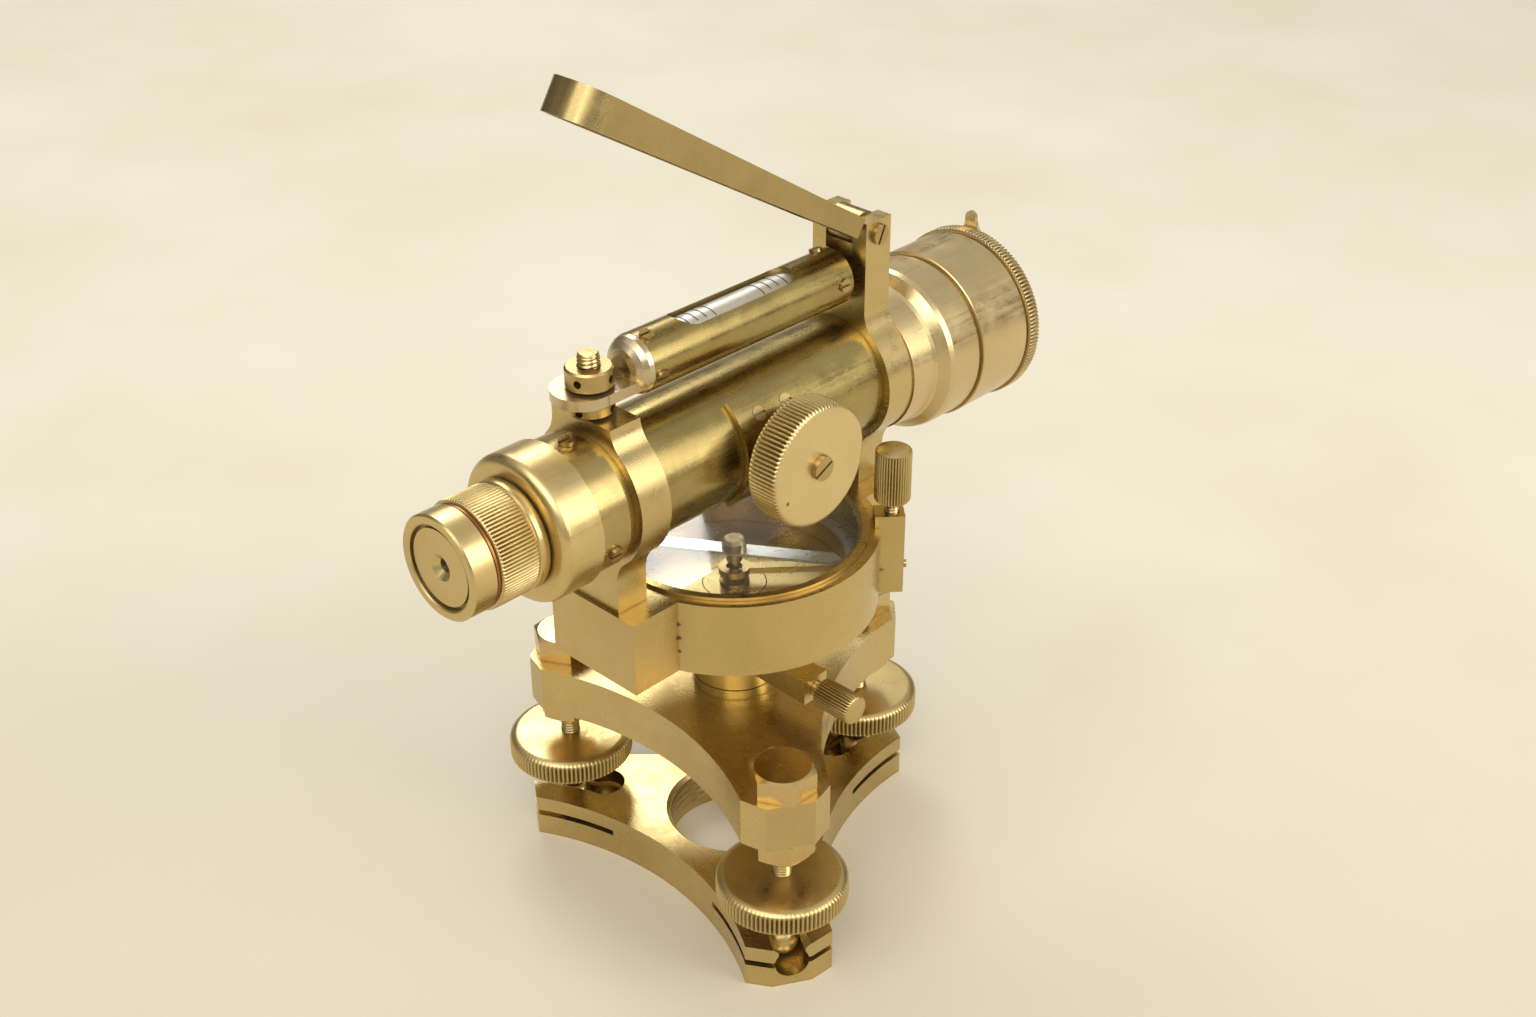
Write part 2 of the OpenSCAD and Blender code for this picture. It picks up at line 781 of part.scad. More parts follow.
module pivot_post() {
    color(dark)
        translate([0, 0, floor_face])
            rotate_extrude()
                polygon([[0, 0], [3.4, 0], [3.4, 0.8], [post_stem, 1.6],
                    [post_stem, hub_base - floor_face - air], [post_tip, hub_base - floor_face + over],
                    [post_tip, tip_top - floor_face], [0, tip_top - floor_face]]);
}

module needle() {
    color(silver)
        rotate([0, 0, needle_angle])
            difference() {
                translate([0, 0, needle_base])
                    linear_extrude(needle_thick)
                        polygon([[-needle_half, 0], [-needle_half + needle_width, -needle_width],
                            [needle_half - needle_width, -needle_width], [needle_half, 0],
                            [needle_half - needle_width, needle_width],
                            [-needle_half + needle_width, needle_width]]);
                translate([0, 0, needle_base - over])
                    cylinder(r = cap_radius - 1 + run, h = needle_thick + 2 * over);
            }
}

module needle_cap() {
    top = needle_base + needle_thick;
    color(brass)
        rotate_extrude()
            polygon([[post_tip + run + 0.9, hub_base], [cap_radius - 1, hub_base],
                [cap_radius - 1, top], [cap_radius, top], [cap_radius, needle_roof - 0.6],
                [cap_radius - 0.6, needle_roof], [0, needle_roof], [0, tip_top],
                [post_tip + run, tip_top], [post_tip + run, hub_base + 1.6]]);
}

module compass_glass() {
    color(clear)
        translate([0, 0, glass_base])
            cylinder(r = glass_radius, h = glass_thick, $fn = 180);
}

module bezel_ring() {
    color(brass)
        translate([0, 0, glass_base + glass_thick])
            rotate_extrude($fn = 180)
                polygon([[bezel_bore, 0], [glass_radius, 0], [glass_radius, 1 + bezel_rise],
                    [bezel_bore + 0.8, 1 + bezel_rise], [bezel_bore, 1]]);
}

module needle_lifter() {
    tail = arrest_circle + arrest_tip - lever_ring + over;
    color(brass)
        rotate([0, 0, arrest_angle])
            translate([0, 0, lever_base])
                difference() {
                    union() {
                        cylinder(r = lever_ring, h = lever_thick);
                        translate([lever_ring - over, -lever_half, 0])
                            cube([tail, 2 * lever_half, lever_thick]);
                    }
                    translate([0, 0, -over])
                        cylinder(r = lever_eye, h = lever_thick + 2 * over);
                    translate([lever_pivot, 0, lever_thick / 2])
                        rotate([90, 0, 0])
                            cylinder(r = pin_radius + run, h = 4 * lever_half, center = true);
                }
}

module arrest_pins() {
    color(brass)
        rotate([0, 0, arrest_angle]) {
            translate([lever_pivot, 0, pin_base])
                rotate([90, 0, 0])
                    cylinder(r = pin_radius, h = 2 * rib_half + 0.6, center = true);
            translate([rib_reach - 1.1, 0, pin_base])
                rotate([0, 90, 0])
                    cylinder(r = pin_radius, h = 1.1 + rib_screw_head / 2);
            translate([rib_reach, 0, pin_base])
                rotate([0, 90, 0])
                    cylinder(r = rib_screw_head, h = rib_screw_head);
        }
}

module arrest_screw() {
    tip = lever_base + lever_thick + air;
    head = box_top + arrest_base;
    top = head + arrest_length;
    color(brass)
        rotate([0, 0, arrest_angle])
            translate([arrest_circle, 0, 0])
                rotate_extrude()
                    polygon([[0, tip], [arrest_tip, tip], [arrest_tip, tip_top_height + air],
                        [arrest_shank, tip_top_height + air], [arrest_shank, head],
                        [arrest_head - 0.5, head], [arrest_head, head + 0.5],
                        [arrest_head, top - 0.8], [arrest_head - 0.8, top - 0.25], [0, top]]);
}

// One side of an upright above the telescope axis, from its top down to the axis: the
// straight neck, the hollow fillet and the quarter of the ring
function upright_side(half, high) =
    let (reach = ring_radius + fillet_radius)
    let (aside = half + fillet_radius)
    let (drop = sqrt(reach * reach - aside * aside))
    let (turn = atan2(drop, aside))
    concat([[half, high]],
        [for (i = [0:arc_steps]) let (a = 180 + turn * i / arc_steps)
            [aside + fillet_radius * cos(a), drop + fillet_radius * sin(a)]],
        [for (i = [1:arc_steps]) polar(ring_radius, turn * (1 - i / arc_steps))]);

// The points of a list in the opposite order
function backwards(list) = [for (i = [len(list) - 1:-1:0]) list[i]];

// Plate of an upright along X from the start, with its ring round the telescope axis; its
// neck reaches one distance from the axis on the near side and another on the far side
module upright_plate(start, near, far, high) {
    lower = [for (p = backwards(upright_side(foot_half, axis_height))) [p[0], -p[1]]];
    below = [for (i = [1:len(lower) - 1]) lower[i]];
    right = concat(upright_side(far, high), below);
    mirrored = backwards(concat(upright_side(near, high), below));
    left = [for (p = mirrored) if (abs(p[1]) > 0) [-p[0], p[1]]];
    translate([start, 0, axis_z])
        rotate([90, 0, 90])
            linear_extrude(upright_thick)
                polygon(concat(right, left));
}

module near_upright() {
    color(brass)
        difference() {
            upright_plate(-upright_outer, foot_half, neck_far, 2 * ring_radius);
            on_telescope(-upright_outer - over)
                cylinder(r = bore_radius, h = upright_thick + 2 * over);
            translate([-upright_outer - over, -ring_radius, near_face])
                cube([upright_thick + 2 * over, 2 * ring_radius, 2 * ring_radius]);
            translate([-stud_place, stud_aside, stud_root])
                cylinder(r = stud_radius + run, h = near_face - stud_root + over);
        }
}

module far_upright() {
    seat = level_seat_radius + air;
    side = level_seat_half + air / 2;
    color(brass)
        difference() {
            upright_plate(upright_inner, ear_outer, ear_outer, ear_top);
            on_telescope(upright_inner - over)
                cylinder(r = bore_radius, h = upright_thick + 2 * over);
            translate([upright_inner - over, -ear_inner, axis_z + ear_gap_base])
                cube([upright_thick + 2 * over, 2 * ear_inner, ear_top - ear_gap_base + over]);
            translate([upright_mid, 0, hinge_z])
                rotate([90, 0, 0])
                    cylinder(r = hinge_radius + run, h = 2 * ear_outer + 2 * over, center = true);
            translate([upright_inner - over, -side, level_z - seat])
                cube([level_pivot - upright_inner + seat + over, 2 * side, 2 * seat]);
        }
}

module main_tube() {
    end = upright_outer + neck_length;
    color(brass)
        difference() {
            turned([[-end, tube_bore], [-end, tube_neck], [-upright_inner, tube_neck],
                [-upright_inner, tube_radius], [upright_inner, tube_radius], [upright_inner, tube_neck],
                [end, tube_neck], [end, tube_bore]]);
            from_axis()
                translate([0, 0, tube_bore - 3])
                    cylinder(r = pinion_radius + air, h = 2 * tube_radius);
            on_saddle(0)
                cylinder(r = screw_shank + run, h = 2 * tube_radius);
        }
}

// Places children, drawn along +Z from the telescope axis, on the focusing shaft
module from_axis() {
    translate([focus_x, 0, axis_z])
        rotate([90, 0, 0])
            children();
}

// Places children at the four screws of the saddle, raised from the telescope axis
module on_saddle(radius) {
    for (side = [-1, 1])
        for (turn = [-1, 1])
            outward(focus_x + side * saddle_screw_x, axis_z, 180 + turn * saddle_screw_angle, radius)
                children();
}

module saddle() {
    wide = 3 * saddle_radius;
    color(brass)
        difference() {
            union() {
                intersection() {
                    on_telescope(focus_x - saddle_half)
                        cylinder(r = saddle_radius, h = 2 * saddle_half);
                    translate([focus_x - saddle_half, 0, axis_z])
                        rotate([90, 0, 90])
                            linear_extrude(2 * saddle_half)
                                polygon([[0, 0], polar(wide, 180 - saddle_span),
                                    polar(wide, 180 + saddle_span)]);
                }
                from_axis()
                    translate([0, 0, tube_radius - over])
                        cylinder(r = saddle_boss, h = boss_reach - tube_radius + over);
            }
            on_telescope(focus_x - saddle_half - over)
                cylinder(r = tube_radius + run, h = 2 * saddle_half + 2 * over);
            from_axis()
                cylinder(r = shaft_radius + run, h = boss_reach + over);
            on_saddle(0)
                cylinder(r = screw_head + run, h = 2 * saddle_radius);
        }
}

module saddle_screws() {
    seat = tube_radius + 0.1;
    color(brass)
        on_saddle(seat)
            slotted_screw(screw_head, saddle_radius - seat + 0.1, screw_shank, seat - tube_bore - 0.7);
}

module pinion_shaft() {
    inner = tube_bore - 4.5;
    tap = 3;
    end = knob_back + knob_thick - 2;
    color(brass)
        from_axis()
            rotate_extrude()
                polygon([[0, inner], [pinion_radius, inner], [pinion_radius, tube_bore - air],
                    [shaft_radius, tube_bore - air], [shaft_radius, end], [knob_thread + run, end],
                    [knob_thread + run, end - tap], [0, end - tap]]);
}

module focus_knob() {
    front = knob_back + knob_thick;
    color(brass)
        from_axis()
            rotate_extrude()
                polygon([[shaft_radius + run, knob_back], [knob_radius - 0.6, knob_back],
                    [knob_radius, knob_back + 0.6], [knob_radius, front - 0.8], [knob_radius - 0.8, front],
                    [knob_thread + run, front], [knob_thread + run, front - 1.8],
                    [shaft_radius + run, front - 1.8]]);
}

module knob_screw() {
    color(brass)
        from_axis()
            translate([0, 0, knob_back + knob_thick])
                rotate([0, 0, 25])
                    slotted_screw(knob_screw_radius, 1.2, knob_thread, 4.5);
}

module focus_cell() {
    rack_length = 33;
    color(dark) {
        turned([[cell_start, lens_bore], [cell_start, tube_bore - run],
            [cell_start + cell_length, tube_bore - run], [cell_start + cell_length, lens_bore + 0.8],
            [cell_start + 2, lens_bore + 0.8], [cell_start + 2, lens_bore]]);
        translate([cell_start - rack_length, -rack_y, axis_z - pinion_radius - 0.1 - rack_height])
            cube([rack_length + 1, rack_depth, rack_height]);
    }
}

module focus_lens() {
    start = cell_start + 2;
    color(clear)
        turned([[start, 0], [start, lens_bore + 0.75], [start + focus_rim, lens_bore + 0.75],
            [start + focus_rim - focus_hollow * 2 / 3, lens_bore - 3], [start + focus_rim - focus_hollow, 0]]);
}

module diaphragm_ring() {
    back = upright_outer + neck_length;
    color(brass)
        difference() {
            turned([[-diaphragm_front, tube_bore], [-diaphragm_front, diaphragm_radius],
                [-diaphragm_back, diaphragm_radius], [-diaphragm_back, tube_radius - 0.4],
                [-upright_outer, tube_radius - 0.4], [-upright_outer, bore_radius],
                [-back - 0.1, bore_radius], [-back - 0.1, tube_bore]]);
            on_diaphragm(0)
                cylinder(r = screw_shank + run, h = 2 * diaphragm_radius);
        }
}

// Places children at the two opposite pairs of reticle screws, raised from the telescope axis
module on_diaphragm(radius) {
    for (turn = reticle_turns)
        outward(-reticle_x, axis_z, turn, radius)
            children();
}

module diaphragm_screws() {
    color(brass)
        on_diaphragm(diaphragm_radius)
            slotted_screw(screw_head, screw_rise, screw_shank, diaphragm_radius - reticle_radius - run);
}

module reticle() {
    color(dark)
        turned([[-reticle_x - 1, reticle_bore], [-reticle_x - 1, reticle_radius],
            [-reticle_x + 1, reticle_radius], [-reticle_x + 1, reticle_bore]]);
}

module eyepiece_barrel() {
    round_steps = 8;
    arc = [for (i = [0:round_steps]) let (a = 90 * i / round_steps)
        [-barrel_front + barrel_round * (1 - sin(a)), barrel_radius - barrel_round * (1 - cos(a))]];
    color(brass)
        difference() {
            union() {
                on_telescope(-barrel_front + barrel_round)
                    cylinder(r = barrel_radius, h = barrel_front - diaphragm_front - barrel_round - 0.5);
                on_telescope(-barrel_front)
                    cylinder(r = barrel_radius - barrel_round, h = barrel_round + over);
                on_telescope(-barrel_front + barrel_round)
                    rotate_extrude()
                        translate([barrel_radius - barrel_round, 0])
                            circle(r = barrel_round, $fn = 48);
                on_telescope(-diaphragm_front - over)
                    cylinder(r = barrel_radius - 0.9, h = over);
            }
            on_telescope(-barrel_front - over)
                cylinder(r = eye_tube_radius + run, h = barrel_front);
            on_telescope(-diaphragm_front - 3.5)
                cylinder(r = tube_bore, h = 3.5 + over);
        }
}

module eyepiece_tube() {
    neck = eye_front - 5.4;
    end = diaphragm_front + 2;
    inner = eye_tube_radius - 1.4;
    disc = eye_cap_radius - 3;
    color(brass)
        turned([[-eye_front + 2.6, sight_radius], [-eye_front + 1.8, sight_radius],
            [-eye_front + 0.6, sight_radius + 1.4], [-eye_front + 0.6, disc], [-eye_front + 1.6, disc],
            [-eye_front + 1.6, disc + 0.8], [-eye_front + 0.3, disc + 0.8], [-eye_front, disc + 1.1],
            [-eye_front, eye_cap_radius - 0.4], [-eye_front + 0.4, eye_cap_radius], [-neck, eye_cap_radius],
            [-neck + 0.3, eye_cap_radius - 0.7], [-neck + 0.8, eye_cap_radius - 0.7],
            [-neck + 0.8, eye_tube_radius], [-end, eye_tube_radius], [-end, inner],
            [-eye_front + 2.6, inner]]);
}

module eyepiece_ring() {
    start = eye_front - 6.5;
    color(brass)
        on_telescope(-start)
            rotate_extrude()
                polygon([[eye_tube_radius + run, 0], [eye_ring_radius - 0.5, 0], [eye_ring_radius, 0.5],
                    [eye_ring_radius, eye_ring_length - 0.5], [eye_ring_radius - 0.5, eye_ring_length],
                    [eye_tube_radius + run, eye_ring_length]]);
}

module eye_lenses() {
    edge = eye_tube_radius - 1.45;
    color(clear) {
        turned([[-eye_front + 2.7, 0], [-eye_front + 2.7, edge], [-eye_front + 4, edge],
            [-eye_front + 4.8, edge - 3], [-eye_front + 5.2, 0]]);
        turned([[-diaphragm_front - 5.6, 0], [-diaphragm_front - 5.2, edge - 3],
            [-diaphragm_front - 4.4, edge], [-diaphragm_front - 3.2, edge], [-diaphragm_front - 3.2, 0]]);
    }
}

module objective_barrel() {
    start = upright_outer;
    color(brass)
        turned([[start, bore_radius], [start, taper_radius], [start + 6.6, taper_radius + 0.4],
            [start + 7.4, taper_radius + 0.8], [start + 8.6, taper_radius + 2.1],
            [start + 9.4, taper_radius + 2.9], [start + 10.7, shoulder_radius],
            [shoulder_end - 0.4, shoulder_radius], [shoulder_end, shoulder_radius - 0.4],
            [shoulder_end, spigot_radius + run], [shoulder_end - 6.5, spigot_radius + run],
            [shoulder_end - 6.5, rim_bore], [start + neck_length + 2, tube_neck + 0.6],
            [start + neck_length + 0.1, tube_neck + 0.6], [start + neck_length + 0.1, bore_radius]]);
}

module objective_cell() {
    color(brass)
        turned([[shoulder_end - 6.2, rim_bore - 0.4], [shoulder_end - 6.2, spigot_radius],
            [shoulder_end, spigot_radius], [shoulder_end, shoulder_radius - 0.6],
            [shoulder_end + 0.6, shoulder_radius - 0.6], [shoulder_end + 0.6, cell_radius - 0.2],
            [shoulder_end + 0.8, cell_radius], [cell_end - 0.3, cell_radius], [cell_end, cell_radius - 0.3],
            [cell_end, lens_edge + run], [lens_seat, lens_edge + run], [lens_seat, rim_bore - 0.4]]);
}

module objective_lens() {
    color(clear)
        turned([[lens_seat, 0], [lens_seat, lens_edge], [lens_seat + lens_rim, lens_edge],
            [lens_seat + lens_rim + lens_bulge / 2, lens_edge * 0.75],
            [lens_seat + lens_rim + lens_bulge * 6 / 7, lens_edge * 0.45], [lens_seat + lens_rim + lens_bulge, 0]]);
}

module objective_rim() {
    color(brass)
        difference() {
            turned([[cell_end - 1.6, rim_bore], [cell_end - 1.6, lens_edge], [cell_end, lens_edge],
                [cell_end, rim_radius - 1.4], [cell_end + 0.6, rim_radius - 1.4],
                [cell_end + 0.6, rim_radius - 0.4], [cell_end + 1, rim_radius], [rim_end - 0.4, rim_radius],
                [rim_end, rim_radius - 0.4], [rim_end, rim_bore]]);
            on_pivot(cell_end + 0.5)
                cylinder(r = pivot_shank + run, h = rim_end);
        }
}

// Places children, drawn along +Z, on the shutter pivot at the given place along X
module on_pivot(x) {
    translate([x, pivot_circle * cos(pivot_angle), axis_z + pivot_circle * sin(pivot_angle)])
        rotate([0, 90, 0])
            children();
}

module shutter() {
    tip = 1.5;
    bite = 6;
    tab_half = 5.2;
    color(brass)
        difference() {
            translate([rim_end + run, 0, axis_z])
                rotate([90, 0, 90])
                    linear_extrude(shutter_thick) {
                        circle(r = shutter_radius);
                        rotate(tab_lean) {
                            translate([0, tab_reach - tip])
                                circle(r = tip, $fn = 48);
                            difference() {
                                translate([-tab_half, shutter_radius - 3])
                                    square([2 * tab_half, tab_reach - tip - shutter_radius + 3]);
                                for (side = [-1, 1])
                                    translate([side * (tip + bite), tab_reach - tip])
                                        circle(r = bite);
                            }
                        }
                    }
            on_pivot(rim_end - over)
                cylinder(r = pivot_shank + run, h = shutter_thick + 3 * over);
        }
}

module shutter_screw() {
    color(brass)
        on_pivot(rim_end + shutter_thick + 2 * run)
            slotted_screw(1.9, 0.8, pivot_shank, rim_end - cell_end + shutter_thick - 0.6);
}

module level_tube() {
    end = level_pivot;
    color(brass)
        difference() {
            union() {
                translate([-level_front, 0, level_z])
                    rotate([0, 90, 0])
                        cylinder(r = level_radius, h = level_front + level_rear);
                translate([level_rear - over, -level_seat_half, level_z - level_seat_radius])
                    cube([end - level_rear + over, 2 * level_seat_half, 2 * level_seat_radius]);
                translate([end, 0, level_z])
                    rotate([90, 0, 0])
                        cylinder(r = level_seat_radius, h = 2 * level_seat_half, center = true);
            }
            translate([-level_front - over, 0, level_z])
                rotate([0, 90, 0])
                    cylinder(r = level_bore, h = level_front + level_rear - level_floor + over);
            translate([-window_half + window_width, -window_width, level_z])
                cube([2 * (window_half - window_width), 2 * window_width, 2 * level_radius]);
            for (side = [-1, 1])
                translate([side * (window_half - window_width), 0, level_z])
                    cylinder(r = window_width, h = 2 * level_radius);
            on_level(0)
                cylinder(r = level_shank + run, h = 2 * level_radius);
            on_level(level_radius - level_seat_depth)
                cylinder(r = level_head + run, h = level_radius);
        }
}

// Places children at the small screws of the tube level, raised from its axis
module on_level(radius) {
    for (place = level_screw_places)
        outward(place[0], level_z, place[1], radius)
            children();
}

module level_screws() {
    color(brass)
        on_level(level_radius - level_seat_depth)
            slotted_screw(level_head, level_head_rise, level_shank, level_screw_depth);
}

module vial() {
    start = -level_front + plug_depth + 0.2;
    color(clear)
        translate([start, 0, level_z])
            rotate([0, 90, 0])
                cylinder(r = level_bore - run, h = level_rear - level_floor - air - start);
}

module level_plug() {
    inner = level_bore - run;
    color(silver)
        difference() {
            union() {
                translate([-level_front, 0, level_z])
                    rotate([0, 90, 0])
                        rotate_extrude()
                            polygon([[0, plug_depth], [inner, plug_depth], [inner, 0],
                                [level_radius - 0.1, 0], [level_radius - 0.3, -1.2],
                                [level_radius - 1, -2.4], [level_radius - 2.2, -3.3],
                                [level_radius - 3.6, -3.8], [0, -3.8]]);
                translate([-stud_place, -tongue_half, tongue_base])
                    cube([stud_place - level_front, 2 * tongue_half, tongue_thick]);
                translate([-stud_place - 1, tongue_end - tongue_half, tongue_base])
                    cylinder(r = tongue_end, h = tongue_thick);
            }
            translate([-stud_place, stud_aside, tongue_base - over])
                cylinder(r = stud_radius + 2 * air, h = tongue_thick + 2 * over);
            on_level(level_radius - level_seat_depth - level_screw_depth - 0.2)
                cylinder(r = level_shank + run, h = level_radius);
        }
}

module adjusting_stud() {
    top = near_face + stud_rise;
    color(brass)
        translate([-stud_place, stud_aside, 0])
            rotate_extrude()
                polygon([[0, stud_root], [stud_radius, stud_root], [stud_radius, top - 0.5],
                    [stud_radius - 0.5, top], [0, top]]);
}

module capstan_nuts() {
    color(brass) {
        capstan_nut(lower_nut_base, lower_nut_height);
        capstan_nut(upper_nut_base, upper_nut_height);
    }
}

// One round nut with four radial holes for a pin
module capstan_nut(base, height) {
    bevel = 0.4;
    hole = 0.85;
    translate([-stud_place, stud_aside, base])
        difference() {
            rotate_extrude()
                polygon([[stud_radius + run, 0], [capstan_radius - bevel, 0], [capstan_radius, bevel],
                    [capstan_radius, height - bevel], [capstan_radius - bevel, height],
                    [stud_radius + run, height]]);
            for (i = [0:3])
                rotate([0, 0, 20 + 90 * i])
                    translate([capstan_radius - 1.8, 0, height / 2])
                        rotate([0, 90, 0])
                            cylinder(r = hole, h = capstan_radius, $fn = 48);
        }
}

// Places children, drawn with X along the mirror and Z on its back, on the raised mirror
module on_mirror() {
    translate([upright_mid, 0, hinge_z])
        rotate([0, mirror_rise, 0])
            rotate([0, 0, 180])
                children();
}

// Outline of the mirror in its own plane, from the start and inset by the wall
module mirror_outline(start, wall) {
    half = mirror_half - wall;
    corner = mirror_corner - wall;
    far = mirror_reach - wall;
    translate([start, -half])
        square([far - corner - start, 2 * half]);
    translate([start, corner - half])
        square([far - start, 2 * (half - corner)]);
    for (side = [-1, 1])
        translate([far - corner, side * (half - corner)])
            circle(r = corner);
}

module mirror_frame() {
    tongue_side = ear_inner - 0.1;
    root = mirror_top - hinge_depth;
    color(brass)
        on_mirror()
            difference() {
                union() {
                    intersection() {
                        translate([0, 0, mirror_top - mirror_depth])
                            linear_extrude(mirror_depth)
                                mirror_outline(mirror_start, 0);
                        translate([0, 2 * mirror_half, 0])
                            rotate([90, 0, 0])
                                linear_extrude(4 * mirror_half)
                                    polygon([[0, mirror_top], [mirror_reach + over, mirror_top],
                                        [mirror_reach + over, mirror_top - mirror_depth],
                                        [mirror_start, root], [0, root]]);
                    }
                    translate([0, -tongue_side, root])
                        cube([mirror_start + over, 2 * tongue_side, hinge_depth]);
                    rotate([90, 0, 0])
                        cylinder(r = tongue_radius, h = 2 * tongue_side, center = true);
                }
                rotate([90, 0, 0])
                    cylinder(r = hinge_radius + run, h = 4 * ear_inner, center = true);
                translate([0, 0, mirror_top - mirror_plate - 2 * mirror_depth])
                    linear_extrude(2 * mirror_depth)
                        mirror_outline(mirror_window_start, mirror_wall);
            }
}

module mirror_glass() {
    color(silver)
        on_mirror()
            translate([0, 0, mirror_top - mirror_plate - mirror_glass_thick])
                linear_extrude(mirror_glass_thick)
                    mirror_outline(mirror_window_start + 0.1, mirror_wall + 0.1);
}

module mirror_screw() {
    color(brass)
        translate([upright_mid, 0, hinge_z])
            rotate([90, 0, 0])
                translate([0, 0, ear_outer])
                    rotate([0, 0, 65])
                        slotted_screw(hinge_head, 1, hinge_radius, 2 * ear_outer);
}

base_plate();
foot_ball(0);  // foot_ball_a
foot_ball(1);  // foot_ball_b
foot_ball(2);  // foot_ball_c
foot_spindle(0);  // foot_spindle_a
foot_spindle(1);  // foot_spindle_b
foot_spindle(2);  // foot_spindle_c
foot_disc(0);  // foot_disc_a
foot_disc(1);  // foot_disc_b
foot_disc(2);  // foot_disc_c
upper_plate();
foot_bushes();
bush_nuts();
axis_socket();
axis_spindle();
axis_nut();
clamp_collar();
clamp_screw();
compass_box();
dial_ring();
pivot_post();
needle();
needle_cap();
compass_glass();
bezel_ring();
needle_lifter();
arrest_pins();
arrest_screw();
near_upright();
far_upright();
main_tube();
objective_barrel();
objective_cell();
objective_lens();
objective_rim();
shutter();
shutter_screw();
focus_cell();
focus_lens();
pinion_shaft();
saddle();
saddle_screws();
focus_knob();
knob_screw();
diaphragm_ring();
reticle();
diaphragm_screws();
eyepiece_barrel();
eyepiece_tube();
eye_lenses();
eyepiece_ring();
level_tube();
vial();
level_plug();
level_screws();
adjusting_stud();
capstan_nuts();
mirror_frame();
mirror_glass();
mirror_screw();
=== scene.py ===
import bpy
import math
from mathutils import Matrix, Vector


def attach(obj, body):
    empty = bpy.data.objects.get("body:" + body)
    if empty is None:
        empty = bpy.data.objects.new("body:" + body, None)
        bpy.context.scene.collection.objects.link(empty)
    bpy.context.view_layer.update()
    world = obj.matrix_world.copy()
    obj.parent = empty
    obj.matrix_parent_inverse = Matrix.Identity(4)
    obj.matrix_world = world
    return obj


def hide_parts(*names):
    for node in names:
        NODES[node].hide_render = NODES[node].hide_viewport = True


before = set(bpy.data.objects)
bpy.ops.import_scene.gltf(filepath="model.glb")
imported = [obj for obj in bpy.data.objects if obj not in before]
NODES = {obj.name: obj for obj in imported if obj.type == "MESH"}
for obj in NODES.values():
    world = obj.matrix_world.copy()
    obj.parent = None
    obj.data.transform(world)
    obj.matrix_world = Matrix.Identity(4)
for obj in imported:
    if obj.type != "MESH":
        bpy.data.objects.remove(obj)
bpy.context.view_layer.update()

SCENE = bpy.context.scene

# Lengths and places of the pieces are in millimetres, angles in degrees
MM = 0.001
PER_METRE = 1000.0
NEAR_AXIS = 0.0001
TELESCOPE_Z = 117.0
LEVEL_Z = 142.0
CLAMP_Z = 59.9
KNOB_X = -0.6
EYE_RING_X = -74.1
FOOT_CIRCLE = 42.5
FOOT_ANGLES = (-121.5, -1.5, 118.5)
CLAMP_ANGLE = -91.5
ARREST_CIRCLE = 35.5
ARREST_ANGLE = -43
STUD_PLACE = (-38.8, 1.5, 0)
UP = (0, 0, 1)
FORWARD = (1, 0, 0)


# Node helpers

def new_material(name):
    material = bpy.data.materials.new(name)
    material.use_nodes = True
    tree = material.node_tree
    tree.nodes.clear()
    return material, tree


def connect(tree, item, inputs):
    """Links or sets each input of a node."""
    for key, value in inputs.items():
        if isinstance(value, bpy.types.NodeSocket):
            tree.links.new(value, item.inputs[key])
        else:
            item.inputs[key].default_value = value


def add(tree, kind, inputs=None, **settings):
    item = tree.nodes.new(kind)
    for key, value in settings.items():
        setattr(item, key, value)
    connect(tree, item, inputs or {})
    return item


def finish_material(tree, shader):
    out = add(tree, "ShaderNodeOutputMaterial")
    tree.links.new(shader.outputs[0], out.inputs[0])


def math_node(tree, operation, a, b=None, clamp=False):
    inputs = {0: a}
    if b is not None:
        inputs[1] = b
    return add(tree, "ShaderNodeMath", inputs, operation=operation, use_clamp=clamp).outputs[0]


def plus(tree, a, b, clamp=False):
    return math_node(tree, "ADD", a, b, clamp)


def minus(tree, a, b):
    return math_node(tree, "SUBTRACT", a, b)


def times(tree, a, b, clamp=False):
    return math_node(tree, "MULTIPLY", a, b, clamp)


def ramp(tree, value, low, high, a=0.0, b=1.0):
    item = add(tree, "ShaderNodeMapRange", {0: value, 1: low, 2: high, 3: a, 4: b})
    return item.outputs[0]


def mix_color(tree, factor, a, b):
    item = add(tree, "ShaderNodeMix", data_type="RGBA")
    connect(tree, item, {0: factor, 6: a, 7: b})
    return item.outputs[2]


def vector_value(tree, operation, a, b=None):
    inputs = {0: a}
    if b is not None:
        inputs[1] = b
    return add(tree, "ShaderNodeVectorMath", inputs, operation=operation).outputs["Value"]


def noise(tree, vector, scale, detail, roughness, distortion=0.0):
    return add(tree, "ShaderNodeTexNoise",
               {"Vector": vector, "Scale": scale, "Detail": detail, "Roughness": roughness,
                "Distortion": distortion}).outputs[0]


def millimetres(tree, stretch=(1, 1, 1), turn=(0, 0, 0)):
    place = add(tree, "ShaderNodeTexCoord").outputs["Object"]
    scale = [PER_METRE * s for s in stretch]
    mapping = add(tree, "ShaderNodeMapping", {"Vector": place, "Scale": scale, "Rotation": turn})
    return mapping.outputs[0]


# Materials

GRAINS = {
    "turned_x": ((9.0, 0.12, 0.12), (0.05, 1.2, 1.2)),
    "turned_z": ((0.12, 0.12, 9.0), (1.2, 1.2, 0.05)),
}
BROWN = [0.13, 0.08, 0.03, 1.0]
PIT_BROWN = [0.1, 0.06, 0.025, 1.0]
ENGRAVED = [0.05, 0.035, 0.02, 1.0]
GRIME = [0.10, 0.065, 0.022, 1.0]


